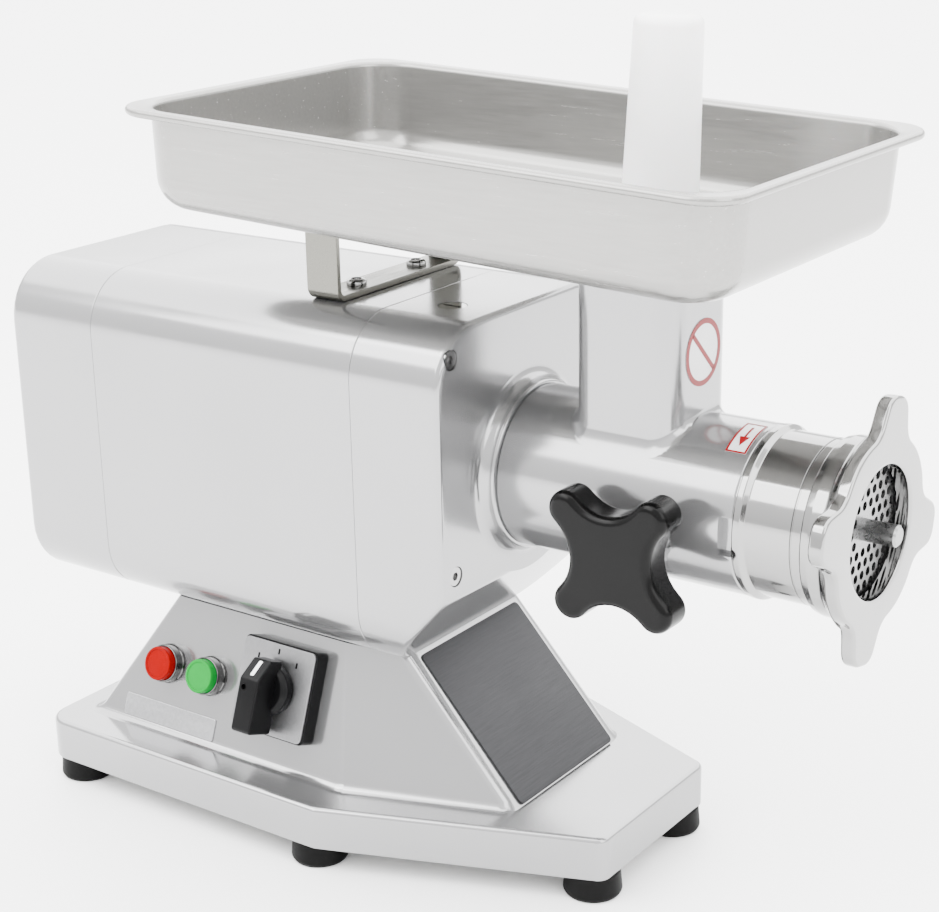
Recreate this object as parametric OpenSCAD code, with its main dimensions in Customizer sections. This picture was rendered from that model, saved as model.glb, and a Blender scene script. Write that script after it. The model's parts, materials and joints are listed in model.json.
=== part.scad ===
// Electric bench meat grinder: cast housing on a pedestal, gear motor, grinding head, tray and pusher.
// Origin at the middle of the footprint on the table, +X towards the outlet, +Z up, millimetres.

/* [Housing] */
// Half width of the motor housing
housing_hw = 73; // [70:0.5:80]
// Height of the flat underside of the housing above the table
housing_z0 = 102.5; // [100:0.5:108]
// Height of the flat top of the housing above the table
housing_z1 = 277; // [270:1:285]
// Radius of the long edges of the housing
housing_r = 30; // [20:1:34]
// Wall of the housing castings
housing_wall = 5; // [4:0.5:6]
// Rear end of the rear cover
rear_x = -236; // [-245:1:-230]
// Joint between the rear cover and the body shell
seam_rear_x = -176; // [-180:1:-172]
// Joint between the body shell and the front cover
seam_front_x = -7; // [-9:1:-6]
// Flat front face of the front cover
front_x = 44; // [43:1:46]
// Height of the upper edge of the slanted lower front corner
chamfer_z = 146; // [140:1:150]
// Where the slanted corner meets the flat underside
chamfer_x = 4.5; // [2:0.5:6]

/* [Base] */
// Rear edge of the base
base_x0 = -208; // [-212:1:-204]
// Radius of the rear corners of the base
base_corner_r = 14; // [8:1:18]
// Where the sides of the base start to taper
base_kink_x = -19; // [-24:1:-14]
// Front edge of the base
base_x1 = 117.5; // [112:0.5:122]
// Half width of the base behind the taper
base_hw = 100.5; // [98:0.5:104]
// Half width of the base at its front edge
base_front_hw = 48; // [44:1:54]
// Underside of the base, which is the visible height of the feet
base_z0 = 12.5; // [11:0.5:15]
// Top surface of the base
base_z1 = 35; // [33:0.5:38]
// Wall of the base and pedestal castings
base_wall = 4.5; // [4:0.5:5]

/* [Pedestal] */
// Half width of the pedestal where it meets the base
pedestal_hw0 = 78.5; // [76:0.5:80]
// Half width of the pedestal where it meets the housing
pedestal_hw1 = 53; // [50:0.5:56]
// Half width of the front slope at the base
slope_hw0 = 49.5; // [46:0.5:51]
// Half width of the front slope at the housing
slope_hw1 = 49.5; // [46:0.5:51]
// Lower end of the front slope
slope_x0 = 66; // [60:1:70]
// Upper end of the front slope
slope_x1 = 4; // [0:1:6]
// Rear lower edge of the pedestal
pedestal_x0 = -190; // [-194:1:-184]
// Rear upper edge of the pedestal
pedestal_x1 = -148; // [-154:1:-142]

/* [Grinding head] */
// Height of the grinding axis above the table
axis_z = 197.7; // [196:0.1:199]
// Radius of the barrel
barrel_r = 39.5; // [38:0.5:41]
// Radius of the bore that the auger turns in
bore_r = 32; // [31:0.5:33]
// Front end of the cast barrel
barrel_x1 = 175; // [172:0.5:178]
// Centre of the feed neck
neck_x = 111.5; // [108:0.5:115]
// Outer width of the square feed neck
neck_w = 54; // [50:1:56]
// Wall of the feed neck
neck_wall = 4; // [3:0.5:5]
// Corner radius of the feed neck
neck_r = 12; // [10:1:14]
// Radius of the perforated plate
plate_r = 35; // [34:0.5:36]
// Front face of the wing nut
nut_x1 = 228; // [226:1:230]
// Radius of the opening in the wing nut
nut_hole_r = 30; // [28:0.5:31]
// Distance of the lobe tips from the axis
nut_tip_r = 60; // [56:1:62]
// Resting angle of the lobes about the axis
nut_turn = -13; // [-20:1:0]
// Front end of the auger pin
pin_x1 = 236; // [234:1:238]

/* [Tray and pusher] */
// Corner radius of the tray rim
tray_rim_r = 20; // [14:1:30]
// Width of the flange between the rim and the pan
tray_flange = 6; // [4:0.5:10]
// Length of the tray over its rim
tray_l = 326; // [310:1:340]
// Width of the tray over its rim
tray_w = 200; // [190:1:204]
// Depth of the tray
tray_depth = 49; // [44:1:54]
// Sheet thickness of the tray
tray_t = 1.5; // [1:0.1:2]
// Middle of the tray along the machine
tray_x = 39.5; // [35:0.5:45]
// Height of the rim above the table, at the middle of the tray
tray_z = 364; // [360:0.5:368]
// Slope of the tray towards the outlet end
tray_tilt = 2.4; // [0:0.1:3]
// Radius of the top end of the pusher
pusher_r1 = 15.4; // [13:0.2:16]
// Radius of the pusher just above its foot
pusher_r0 = 19.6; // [18:0.2:20]
// Length of the pusher
pusher_l = 182.8; // [175:0.2:190]
// Angle by which the loose pusher leans towards the outlet
pusher_lean = 2.5; // [0:0.1:2.6]

/* [Clamp knob] */
// Place of the clamp knob along the machine
knob_x = 130; // [126:1:134]
// Height of the clamp knob
knob_z = 185; // [182:1:188]
// Distance of the knob face from the middle plane
knob_y = 68; // [64:1:72]
// Distance of the knob lobe tips from the knob axis
knob_tip_r = 39; // [36:1:42]

/* [Gears] */
// Module of the first gear stage
module_1 = 1.5; // [1.5:0.5:1.5]
// Teeth of the motor pinion
teeth_1a = 14; // [14:1:14]
// Teeth of the large intermediate gear
teeth_1b = 45; // [45:1:45]
// Module of the second gear stage
module_2 = 2; // [2:0.5:2]
// Teeth of the small intermediate gear
teeth_2a = 14; // [14:1:14]
// Teeth of the output gear
teeth_2b = 37; // [37:1:37]

/* [Hidden] */
$fn = 64;
HULL_FN = 32;
// Slack between still parts that slot into each other
SLACK = 0.1;
// Radial gap of a running fit
RUN = 0.04;
// Gap between parts that pass each other
GAP = 0.3;
motor_z = 190;
// Angle by which the control panel leans back
panel_lean = atan((pedestal_hw0 - pedestal_hw1) / (housing_z0 - base_z1));
red_x = -143.2;
green_x = -113.8;
switch_x = -64.8;
button_s = 35.7;
switch_s = 41;
center_1 = module_1 * (teeth_1a + teeth_1b) / 2 + 0.15;
center_2 = module_2 * (teeth_2a + teeth_2b) / 2 + 0.15;
axis_gap = axis_z - motor_z;
inter_z = (motor_z + axis_z) / 2 + (pow(center_1, 2) - pow(center_2, 2)) / (2 * axis_gap);
inter_y = sqrt(pow(center_1, 2) - pow(motor_z - inter_z, 2));
PRESSURE = 25;
head_x0 = front_x + 8;
foot_r = 14.5;
feet = [for (side = [-1, 1]) for (p = [[-192, 86], [-27, 86], [104.5, 38]]) [p[0], side * p[1]]];

// ---- helpers ----

// Rectangle with round corners, centred
module round_rect(w, h, r) {
  square([w - 2 * r, h], center = true);
  square([w, h - 2 * r], center = true);
  for (x = [-1, 1]) for (y = [-1, 1]) translate([x * (w / 2 - r), y * (h / 2 - r)]) circle(r);
}

// Extrudes a YZ outline along +X from x0 to x1
module along_x(x0, x1) {
  translate([x0, 0, 0]) rotate([90, 0, 90]) linear_extrude(height = x1 - x0) children();
}

// Round bar along X
module bar_x(x0, x1, r, y = 0, z = axis_z) {
  translate([x0, y, z]) rotate([0, 90, 0]) cylinder(h = x1 - x0, r = r);
}

// Tube along X
module tube_x(x0, x1, ro, ri, y = 0, z = axis_z) {
  difference() {
    bar_x(x0, x1, ro, y, z);
    bar_x(x0 - 1, x1 + 1, ri, y, z);
  }
}

// Solid turned about X: points are [radius, x]
module turned_x(points, y = 0, z = axis_z) {
  translate([0, y, z]) rotate([0, 90, 0]) rotate_extrude() polygon(points);
}

// Housing cross-section, shrunk by inset
module housing_section(inset = 0) {
  h = housing_z1 - housing_z0 - 2 * inset;
  translate([0, housing_zc])
    round_rect(2 * (housing_hw - inset), h, max(housing_r - inset, 3));
}

// Everything below and in front of the slanted lower front corner, moved inwards by inset
module chamfer_cut(inset = 0) {
  dx = front_x - chamfer_x;
  dz = chamfer_z - housing_z0;
  slant = atan(dz / dx);
  translate([chamfer_x, 0, housing_z0]) rotate([0, -slant, 0])
    translate([-100, -100, -200 + inset]) cube([300, 200, 200]);
}

// Outline of the base, shrunk by inset
function base_points(inset) =
  let (taper = atan((base_hw - base_front_hw) / (base_x1 - base_kink_x)),
       kink = base_kink_x + inset * (1 - 1 / cos(taper)) / tan(taper),
       front_y = base_hw - (base_x1 - inset - base_kink_x) * tan(taper) - inset / cos(taper))
  [[base_x0 + inset, inset - base_hw], [kink, inset - base_hw], [base_x1 - inset, -front_y],
   [base_x1 - inset, front_y], [kink, base_hw - inset], [base_x0 + inset, base_hw - inset]];

// Outline of the base with round rear corners, shrunk by inset
module base_outline(inset) {
  points = base_points(inset);
  r = base_corner_r - inset;
  square_end = points[0][0] + r;
  polygon([[points[0][0], points[0][1] + r], [square_end, points[0][1]], points[1], points[2], points[3],
    points[4], [square_end, points[5][1]], [points[5][0], points[5][1] - r]]);
  for (side = [-1, 1]) translate([square_end, side * (points[5][1] - r)]) circle(r);
}

// Pedestal body shrunk by inset, from its foot to its top
module pedestal_solid(inset = 0) {
  hull() {
    translate([0, 0, base_z1]) linear_extrude(height = 0.01)
      polygon([for (side = [-1, 1]) each [[pedestal_x0 + inset * 1.2, side * (pedestal_hw0 - inset)],
        [base_kink_x - inset * 0.3, side * (pedestal_hw0 - inset)],
        [slope_x0 - inset * 1.5, side * (slope_hw0 - inset)]]]);
    translate([0, 0, housing_z0 - 0.01]) linear_extrude(height = 0.01)
      polygon([for (side = [-1, 1]) each [[pedestal_x1 + inset * 1.2, side * (pedestal_hw1 - inset)],
        [base_kink_x - 13 - inset * 0.3, side * (pedestal_hw1 - inset)],
        [slope_x1 - inset * 1.5, side * (slope_hw1 - inset)]]]);
  }
}

// Places children on the control panel, local Z outwards and local Y up the panel
module on_panel(x, s) {
  translate([x, -pedestal_hw0 + s * sin(panel_lean), base_z1 + s * cos(panel_lean)])
    rotate([90 - panel_lean, 0, 0]) children();
}

// Places children on the front slope, local Z outwards and local Y up the slope
module on_slope(s) {
  run = slope_x0 - slope_x1;
  rise = housing_z0 - base_z1;
  lean = atan(run / rise);
  translate([slope_x0 - s * sin(lean), 0, base_z1 + s * cos(lean)])
    rotate([0, 0, 90]) rotate([90 - lean, 0, 0]) children();
}

// Points of one gear tooth flank pair, from root to root
function involute(rb, t) = [rb * (cos(t) + t * PI / 180 * sin(t)), rb * (sin(t) - t * PI / 180 * cos(t))];
function turn(p, a) = [p[0] * cos(a) - p[1] * sin(a), p[0] * sin(a) + p[1] * cos(a)];
function roll_at(rb, r) = sqrt(max(pow(r / rb, 2) - 1, 0)) * 180 / PI;
function polar_at(rb, r) = roll_at(rb, r) - atan(roll_at(rb, r) * PI / 180);

// Outline of a spur gear with its first tooth on the +X axis
module gear_outline(m, teeth, thin = 0.22) {
  rp = m * teeth / 2;
  rb = rp * cos(PRESSURE);
  ra = rp + 0.92 * m;
  rr = rp - 1.2 * m;
  half = 90 / teeth - thin / 2 / rp * 180 / PI;
  steps = 4;
  r0 = max(rb, rr);
  flank = [for (i = [0:steps]) r0 + (ra - r0) * i / steps];
  up = [for (r = flank) turn([r, 0], polar_at(rb, r) - polar_at(rb, rp) - half)];
  down = [for (i = [steps:-1:0]) [up[i][0], -up[i][1]]];
  root_a = 180 / teeth - 0.6 * (180 / teeth - half - polar_at(rb, rp) + polar_at(rb, r0));
  tooth = concat([turn([rr, 0], -root_a)], up, down, [turn([rr, 0], root_a)]);
  polygon([for (k = [0:teeth - 1]) for (p = tooth) turn(p, 360 * k / teeth)]);
}

// Gear along X whose first tooth points at angle a, counted from +Y towards +Z
module gear_x(x0, x1, m, teeth, hole_r, a, y = 0, z = axis_z) {
  difference() {
    translate([0, y, z]) along_x(x0, x1) rotate(a) gear_outline(m, teeth);
    bar_x(x0 - 1, x1 + 1, hole_r, y, z);
  }
}

// ---- base and pedestal ----

module base_plate() {
  color("gainsboro") difference() {
    translate([0, 0, base_z0]) linear_extrude(height = base_z1 - base_z0) base_outline(0);
    translate([0, 0, base_z0 - 1]) linear_extrude(height = base_z1 - base_z0 + 1 - base_wall)
      base_outline(base_wall);
    translate([-110, 0, base_z0]) linear_extrude(height = 40) square([110, 90], center = true);
    gland_hole();
  }
}

gland_y = 62;
gland_z = (base_z0 + base_z1) / 2;
gland_r = 6.5;
module gland_hole() {
  bar_x(base_x0 - 1, base_x0 + base_wall + 1, gland_r + SLACK, gland_y, gland_z);
}

cover_t = 1.5;
module bottom_cover() {
  color("silver") difference() {
    translate([0, 0, base_z0]) linear_extrude(height = cover_t) base_outline(base_wall + 0.2);
    for (p = feet) translate([p[0], p[1], base_z0 - 1]) cylinder(h = 5, r = 3.2);
  }
}

module rubber_feet() {
  color("#202020") for (p = feet) translate([p[0], p[1], 0]) difference() {
    rotate_extrude() polygon([[0, 0], [foot_r - 1.2, 0], [foot_r, 1.5], [foot_r - 1, base_z0],
      [0, base_z0]]);
    translate([0, 0, -1]) cylinder(h = 6, r = 6);
    translate([0, 0, 4]) cylinder(h = 10, r = 3.1);
  }
}

module foot_screws() {
  color("silver") for (p = feet) translate([p[0], p[1], 0]) {
    translate([0, 0, 2.2]) cylinder(h = 2.8, r = 5);
    translate([0, 0, 4]) cylinder(h = base_z1 - base_wall - 5, r = 2.8);
  }
}

module pedestal() {
  color("gainsboro") difference() {
    pedestal_solid(0);
    pedestal_solid(base_wall);
    for (x = [red_x, green_x]) on_panel(x, button_s) translate([0, 0, -20])
      cylinder(h = 30, r = bezel_r + SLACK);
    on_panel(switch_x, switch_s) translate([0, 0, -20]) cylinder(h = 30, r = 14.2);
  }
}

slope_len = sqrt(pow(slope_x0 - slope_x1, 2) + pow(housing_z0 - base_z1, 2));
slope_plate_t = 1.2;
module slope_plate() {
  color("dimgray") on_slope((slope_len - 2) / 2) translate([0, 0, 0.02])
    linear_extrude(height = slope_plate_t) square([2 * slope_hw0 - 15, slope_len - 3], center = true);
}

// ---- housing ----

module body_shell() {
  color("gainsboro") difference() {
    along_x(seam_rear_x, seam_front_x - 0.4) housing_section();
    along_x(seam_rear_x - 1, seam_front_x + 1) housing_section(housing_wall);
    translate([-110, 0, housing_z0 - 1]) linear_extrude(height = housing_wall + 2)
      square([30, 60], center = true);
  }
}

rear_edge_r = 5;
housing_zc = (housing_z0 + housing_z1) / 2;
// Quarter round from the end face to the side of a blank that reaches out to half
function edge_arc(half, x0, edge) =
  [for (a = [0:10:90]) [half - edge + edge * sin(a), x0 + edge * (1 - cos(a))]];

// Outline of a blank whose end at x0 has round edges
module edge_outline(half, x0, x1, edge) {
  arc = edge_arc(half, x0, edge);
  back = [for (i = [len(arc) - 1:-1:0]) [-arc[i][0], arc[i][1]]];
  polygon(concat(arc, [[half, x1], [-half, x1]], back));
}

// Rear cover blank up to x1
module rear_solid(x1) {
  y0 = housing_hw - housing_r;
  z0 = (housing_z1 - housing_z0) / 2 - housing_r;
  translate([0, 0, housing_zc]) {
    rotate([90, 0, 90]) rotate([90, 0, 90]) translate([0, 0, -y0]) linear_extrude(height = 2 * y0)
      edge_outline(z0 + housing_r, rear_x, x1, rear_edge_r);
    translate([0, 0, -z0]) linear_extrude(height = 2 * z0) rotate(-90)
      edge_outline(y0 + housing_r, rear_x, x1, rear_edge_r);
  }
  for (y = [-y0, y0]) for (z = [-z0, z0])
    turned_x(concat([[0, rear_x]], edge_arc(housing_r, rear_x, rear_edge_r), [[housing_r, x1], [0, x1]]),
      y, housing_zc + z);
}

vent_y = 38;
vent_z = 165;
vent_l = 40;
module rear_cover() {
  color("gainsboro") difference() {
    rear_solid(seam_rear_x - 0.4);
    along_x(rear_x + housing_wall, seam_rear_x + 1) housing_section(housing_wall);
    for (y = [-vent_y, vent_y]) for (k = [0:4])
      translate([rear_x - 1, y - vent_l / 2, vent_z + 12 * k]) cube([housing_wall + 2, vent_l, 5]);
  }
}

hub_r = 41.5;
module front_cover() {
  color("gainsboro") difference() {
    union() {
      difference() {
        along_x(seam_front_x, front_x) housing_section();
        difference() {
          along_x(seam_front_x - 1, front_x - housing_wall) housing_section(housing_wall);
          chamfer_cut(housing_wall);
        }
        chamfer_cut(0);
      }
      bar_x(29, front_x - 1, 32);
      bar_x(28.5, 36, 13, inter_y, inter_z);
      turned_x([[30, front_x - 1], [hub_r + 8, front_x - 1], [hub_r + 8, front_x], [hub_r + 3, front_x + 0.8],
        [hub_r + 0.8, front_x + 3], [hub_r, front_x + 6], [hub_r, head_x0], [30, head_x0]]);
    }
    bar_x(20, front_x + 1, 21 + SLACK / 2);
    bar_x(front_x - 0.5, head_x0 + 1, 30);
    bar_x(20, 34.5, 9 + SLACK / 2, inter_y, inter_z);
    for (p = screw_points) bar_x(front_x - 6, front_x + 1, screw_head_r + GAP, p[0], p[1]);
    for (p = screw_points) bar_x(front_x - 12, front_x + 1, 2.7, p[0], p[1]);
    translate([plug_x, plug_y, housing_z1 - housing_wall - 1]) cylinder(h = housing_wall + 2, r = 4.6);
    translate([plug_x, plug_y, housing_z1 - 2.6]) cylinder(h = 4, r = 7);
  }
}

screw_head_r = 4.5;
screw_points = [for (y = [-1, 1]) for (z = [housing_z1 - 14, chamfer_z + 12]) [y * 61.5, z]];
module cover_screws() {
  color("silver") for (p = screw_points) difference() {
    union() {
      bar_x(front_x - 5, front_x - 0.6, screw_head_r, p[0], p[1]);
      bar_x(front_x - 10, front_x - 5, 2.5, p[0], p[1]);
    }
    translate([0, p[0], p[1]]) along_x(front_x - 3.4, front_x + 1) circle(2.2, $fn = 6);
  }
}

plug_x = 18;
plug_y = -24;
module oil_plug() {
  color("silver") translate([plug_x, plug_y, housing_z1]) difference() {
    union() {
      translate([0, 0, -2.4]) cylinder(h = 2.2, r = 6.7);
      translate([0, 0, -housing_wall]) cylinder(h = 3, r = 4.4);
    }
    translate([-5, -0.8, -1.4]) cube([10, 1.6, 3]);
  }
}

// ---- motor ----

module shield(x0, x1, hole_r, z) {
  difference() {
    along_x(x0, x1) housing_section(housing_wall + SLACK);
    bar_x(x0 - 1, x1 + 1, hole_r, 0, z);
  }
}

module rear_shield() {
  color("lightgray") difference() {
    shield(-170, -160, 15.05, motor_z);
    for (k = [0:7]) translate([0, 0, motor_z]) rotate([45 * k + 22.5, 0, 0])
      bar_x(-171, -159, 9, 0, 42);
  }
}

module gear_bulkhead() {
  color("lightgray") difference() {
    shield(-20, -9, 15.05, motor_z);
    bar_x(-13, -8, 11.05, inter_y, inter_z);
  }
}

tube_r = 65;
stator_r = 62;
module motor_tube() {
  color("lightgray") tube_x(-159.9, -20.1, tube_r, stator_r + SLACK, 0, motor_z);
}

rotor_r = 36;
stator_x = [-140, -60];
module stator() {
  color("slategray") difference() {
    bar_x(stator_x[0], stator_x[1], stator_r, 0, motor_z);
    bar_x(stator_x[0] - 1, stator_x[1] + 1, rotor_r + 0.4, 0, motor_z);
    for (k = [0:23]) translate([0, 0, motor_z]) rotate([15 * k, 0, 0])
      translate([stator_x[0] - 1, -1.6, rotor_r + 2.5]) cube([82, 3.2, 12]);
  }
}

module windings() {
  color("peru") for (x = [stator_x[0] - 15.1, stator_x[1] + 0.1]) difference() {
    translate([x, 0, motor_z]) rotate([0, 90, 0]) rotate_extrude() translate([48, 7.5])
      round_rect(18, 15, 5);
    bar_x(x - 1, x + 16, 10, 0, motor_z);
  }
}

bearing_w = 9;
// Ball bearing drawn as one ring with a groove on each face
module bearing(x0, ro, ri, y, z) {
  mid = (ro + ri) / 2;
  turned_x([[ri, x0], [mid - 1.6, x0], [mid - 1.6, x0 + 1], [mid + 1.6, x0 + 1], [mid + 1.6, x0], [ro, x0],
    [ro, x0 + bearing_w], [mid + 1.6, x0 + bearing_w], [mid + 1.6, x0 + bearing_w - 1],
    [mid - 1.6, x0 + bearing_w - 1], [mid - 1.6, x0 + bearing_w], [ri, x0 + bearing_w]], y, z);
}

shaft_r = 7.5;
module motor_bearings() {
  color("silver") for (x = [-169.5, -19]) bearing(x, 15, shaft_r + RUN, 0, motor_z);
}

module rotor() {
  color("darkgray") tube_x(stator_x[0], stator_x[1], rotor_r, shaft_r, 0, motor_z);
}

module motor_shaft() {
  color("silver") {
    bar_x(-205, -9.5, shaft_r, 0, motor_z);
    bar_x(-9.5, 11, 6, 0, motor_z);
  }
}

mesh_1 = atan2(inter_z - motor_z, inter_y);
mesh_2 = atan2(axis_z - inter_z, -inter_y);
stage_1 = [-3, 8];
stage_2 = [14, 26];
module motor_pinion() {
  color("silver") gear_x(stage_1[0] - 1, stage_1[1] + 1, module_1, teeth_1a, 6, mesh_1, 0, motor_z);
}

module cooling_fan() {
  color("#303030") {
    tube_x(-204, -186, 14, shaft_r, 0, motor_z);
    tube_x(-188.5, -186, 52, 13.5, 0, motor_z);
    for (k = [0:8]) translate([0, 0, motor_z]) rotate([40 * k, 0, 0])
      translate([-204, -1.25, 13.5]) cube([16, 2.5, 37]);
  }
}

// ---- gearbox ----

inter_r = 6;
module intermediate_shaft() {
  color("silver") bar_x(-12.5, 34, inter_r, inter_y, inter_z);
}

module intermediate_gear() {
  color("darkgray") difference() {
    gear_x(stage_1[0], stage_1[1], module_1, teeth_1b, inter_r, mesh_1 + 180 + 180 / teeth_1b,
      inter_y, inter_z);
    for (k = [0:4]) translate([0, inter_y, inter_z]) rotate([72 * k, 0, 0])
      bar_x(stage_1[0] - 1, stage_1[1] + 1, 6, 0, 20);
  }
}

module intermediate_pinion() {
  color("darkgray") gear_x(stage_2[0] - 1, stage_2[1] + 1, module_2, teeth_2a, inter_r, mesh_2,
    inter_y, inter_z);
}

module intermediate_bearings() {
  color("silver") {
    tube_x(-12.9, -9.1, 11, inter_r + RUN, inter_y, inter_z);
    tube_x(29, 34.4, 9, inter_r + RUN, inter_y, inter_z);
  }
}

output_r = 10;
module output_gear() {
  color("darkgray") difference() {
    gear_x(stage_2[0], stage_2[1], module_2, teeth_2b, output_r, mesh_2 + 180 + 180 / teeth_2b);
    for (k = [0:5]) translate([0, 0, axis_z]) rotate([60 * k, 0, 0])
      bar_x(stage_2[0] - 1, stage_2[1] + 1, 6, 0, 23);
  }
}

drive_w = 13;
module output_shaft() {
  color("silver") {
    bar_x(13.5, 50, output_r);
    translate([0, 0, axis_z]) along_x(50, 64) square(drive_w, center = true);
  }
}

module output_bearing() {
  color("silver") bearing(29.5, 21, output_r + RUN, 0, axis_z);
}

module oil_seal() {
  color("#303030") tube_x(39, 43.4, 21, output_r + RUN);
}

// ---- grinding head ----

module head_outer() {
  bar_x(head_x0 + 0.1, barrel_x1, barrel_r);
  bar_x(front_x + 0.2, head_x0 + 1, 29.8);
  translate([neck_x, 0, axis_z]) linear_extrude(height = neck_shoulder - axis_z)
    round_rect(neck_w, neck_w, neck_r);
  translate([neck_x, 0, axis_z]) linear_extrude(height = neck_top - axis_z)
    round_rect(spigot_w, spigot_w, neck_r - 2);
}

// The tray rests on the shoulder, and the spigot above it stands in the tray's hole
neck_shoulder = 310;
neck_top = 316;
spigot_w = neck_w - 4;
module grinding_head() {
  color("gainsboro") difference() {
    head_outer();
    bar_x(head_x0 + 10, barrel_x1 + 1, bore_r);
    bar_x(front_x - 1, head_x0 + 11, 19);
    translate([neck_x, 0, axis_z + 10]) linear_extrude(height = neck_top - axis_z)
      round_rect(neck_w - 2 * neck_wall, neck_w - 2 * neck_wall, neck_r - neck_wall);
    translate([barrel_x1 - 6, -barrel_r - 3, axis_z - 10]) cube([7, 6, 18]);
  }
}

// Radius of the ring behind its flange, which the wing nut turns on
ring_r = 37.8;
module head_ring() {
  color("silver") turned_x([[bore_r, barrel_x1 + 0.05], [barrel_r + 0.5, barrel_x1 + 0.05],
    [barrel_r + 0.5, barrel_x1 + 4], [ring_r, barrel_x1 + 6], [ring_r, 202.4], [ring_r - 0.5, 202.7],
    [ring_r - 0.5, 203.1], [ring_r, 203.4], [ring_r, 219],
    [plate_r + SLACK, 219], [plate_r + SLACK, 211.4], [bore_r + 2, 211.4], [bore_r + 2, 203], [bore_r, 203]]);
}

auger_r = 31.2;
auger_x = [66, 203];
auger_turns = 4.5;
module auger() {
  color("lightgray") {
    difference() {
      turned_x([[0, 52], [15, 52], [15, auger_x[0]], [12, auger_x[0] + 10], [15, auger_x[1] - 30],
        [18, auger_x[1] - 10], [18, auger_x[1]], [6.4, auger_x[1]], [6.4, 211], [5, 211], [5, pin_x1 - 1],
        [4, pin_x1], [0, pin_x1]]);
      translate([0, 0, axis_z]) along_x(48, 65) square(drive_w + 0.2, center = true);
    }
    translate([auger_x[0], 0, axis_z]) rotate([0, 90, 0])
      linear_extrude(height = auger_x[1] - auger_x[0], twist = 360 * auger_turns, slices = 90,
        segments = 10)
      polygon([[0, -8], [auger_r - 1.2, -8.6], [auger_r, 0], [auger_r - 1.2, 8.6], [0, 8]]);
  }
}

module knife() {
  color("silver") difference() {
    union() {
      bar_x(204, 211.3, 12);
      for (k = [0:3]) translate([0, 0, axis_z]) rotate([90 * k, 0, 0])
        translate([204.6, -4, 0]) cube([6.7, 8, 33]);
    }
    bar_x(203, 212, 6.4);
  }
}

hole_pitch = 6.2;
hole_r = 2.1;
module grinding_plate() {
  color("silver") difference() {
    bar_x(211.6, 219.4, plate_r);
    bar_x(210, 221, 5 + RUN);
    for (i = [-6:6]) for (j = [-6:6]) let (y = hole_pitch * (i + j / 2), z = hole_pitch * j * sin(60))
      if (norm([y, z]) < plate_r - 5 && norm([y, z]) > 10.5) bar_x(210, 221, hole_r, y, axis_z + z);
  }
}

// Outline with four lobes; flank is the cosine of the angle at which a lobe leaves the core circle
lobe_r = 9;
module lobed_outline(core_r, tip_r, tip_w, flank) {
  circle(core_r);
  for (k = [0:3]) rotate(90 * k) {
    translate([0, -tip_w]) square([tip_r - tip_w, 2 * tip_w]);
    translate([tip_r - tip_w, 0]) circle(tip_w);
    for (s = [0, 1]) mirror([0, s]) polygon([[0, 0], [core_r * flank, core_r * sqrt(1 - flank * flank)],
      [(core_r + tip_r) / 2 - 1, tip_w], [core_r, 0]]);
  }
}

nut_x0 = 208;
nut_face_t = 7;
module ring_nut() {
  color("silver") difference() {
    union() {
      bar_x(nut_x0, nut_x1 - 1, 40.8);
      translate([0, 0, axis_z]) along_x(nut_x1 - nut_face_t, nut_x1) rotate(nut_turn)
        lobed_outline(44, nut_tip_r, lobe_r, 0.91);
    }
    bar_x(nut_x0 - 1, 219.5, ring_r + GAP);
    bar_x(219, nut_x1 + 1, nut_hole_r);
    turned_x([[0, nut_x1 - 2], [nut_hole_r, nut_x1 - 2], [nut_hole_r + 2, nut_x1 + 0.01], [0, nut_x1 + 0.01]]);
  }
}

// ---- clamp knob ----

// Round bar along Y at the clamp, between two distances from the middle plane
module clamp_bar(y0, y1, r) {
  translate([knob_x, -y0, knob_z]) rotate([90, 0, 0]) cylinder(h = y1 - y0, r = r);
}

module clamp_boss() {
  color("gainsboro") difference() {
    clamp_bar(barrel_r - 8, 43, 13);
    bar_x(knob_x - 20, knob_x + 20, barrel_r + 0.02);
    clamp_bar(barrel_r - 9, 44, 5 + RUN);
  }
}

knob_t = 17;
module clamp_knob() {
  color("#181818") difference() {
    union() {
      clamp_bar(43 + GAP, knob_y - knob_t + 1, 14);
      translate([knob_x, -knob_y, knob_z]) rotate([90, 45 - 3.5, 0]) mirror([0, 0, 1])
        linear_extrude(height = knob_t) lobed_outline(21, knob_tip_r, 8.5, 0.78);
    }
    clamp_bar(40, knob_y - 5, 5);
  }
}

module clamp_stud() {
  color("silver") clamp_bar(barrel_r + GAP, knob_y - 5.1, 5);
}

// ---- tray and pusher ----

bracket_x = -39.5;
bracket_w = 19;
bracket_t = 3;
bracket_hw = 50;
tab_z = 317;
module tray_bracket() {
  color("silver") {
    translate([bracket_x - bracket_w / 2, -bracket_hw, housing_z1 + 0.02])
      cube([bracket_w, 2 * bracket_hw, bracket_t]);
    for (s = [-1, 1]) translate([bracket_x - bracket_w / 2, s * (bracket_hw - bracket_t / 2) - bracket_t / 2,
      housing_z1 + 0.02]) cube([bracket_w, bracket_t, tab_z - housing_z1]);
  }
}

module bracket_bolts() {
  color("silver") for (s = [-1, 1]) translate([bracket_x, s * 24, housing_z1 + bracket_t + 0.05])
    cylinder(h = 3.2, r = 5);
}

// Places children in the tray's own frame: origin at the middle of its rim plane
module in_tray() {
  translate([tray_x, 0, tray_z]) rotate([0, tray_tilt, 0]) children();
}

// Corner radius of the pan at its mouth
pan_r = 28;
// Pan of the tray with round corners and a round floor edge, shrunk by inset
module pan(inset) {
  hull() for (x = [-1, 1]) for (y = [-1, 1])
    for (s = [[0, 0], [2, 16 - tray_depth], [5.5, 6 - tray_depth], [13.5, -tray_depth]])
      translate([x * (tray_l / 2 - tray_flange - pan_r), y * (tray_w / 2 - tray_flange - pan_r),
        s[1] + (s[1] < 0 ? inset : 0)])
        cylinder(h = 0.5, r = pan_r - s[0] - inset, $fn = HULL_FN);
}

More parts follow.
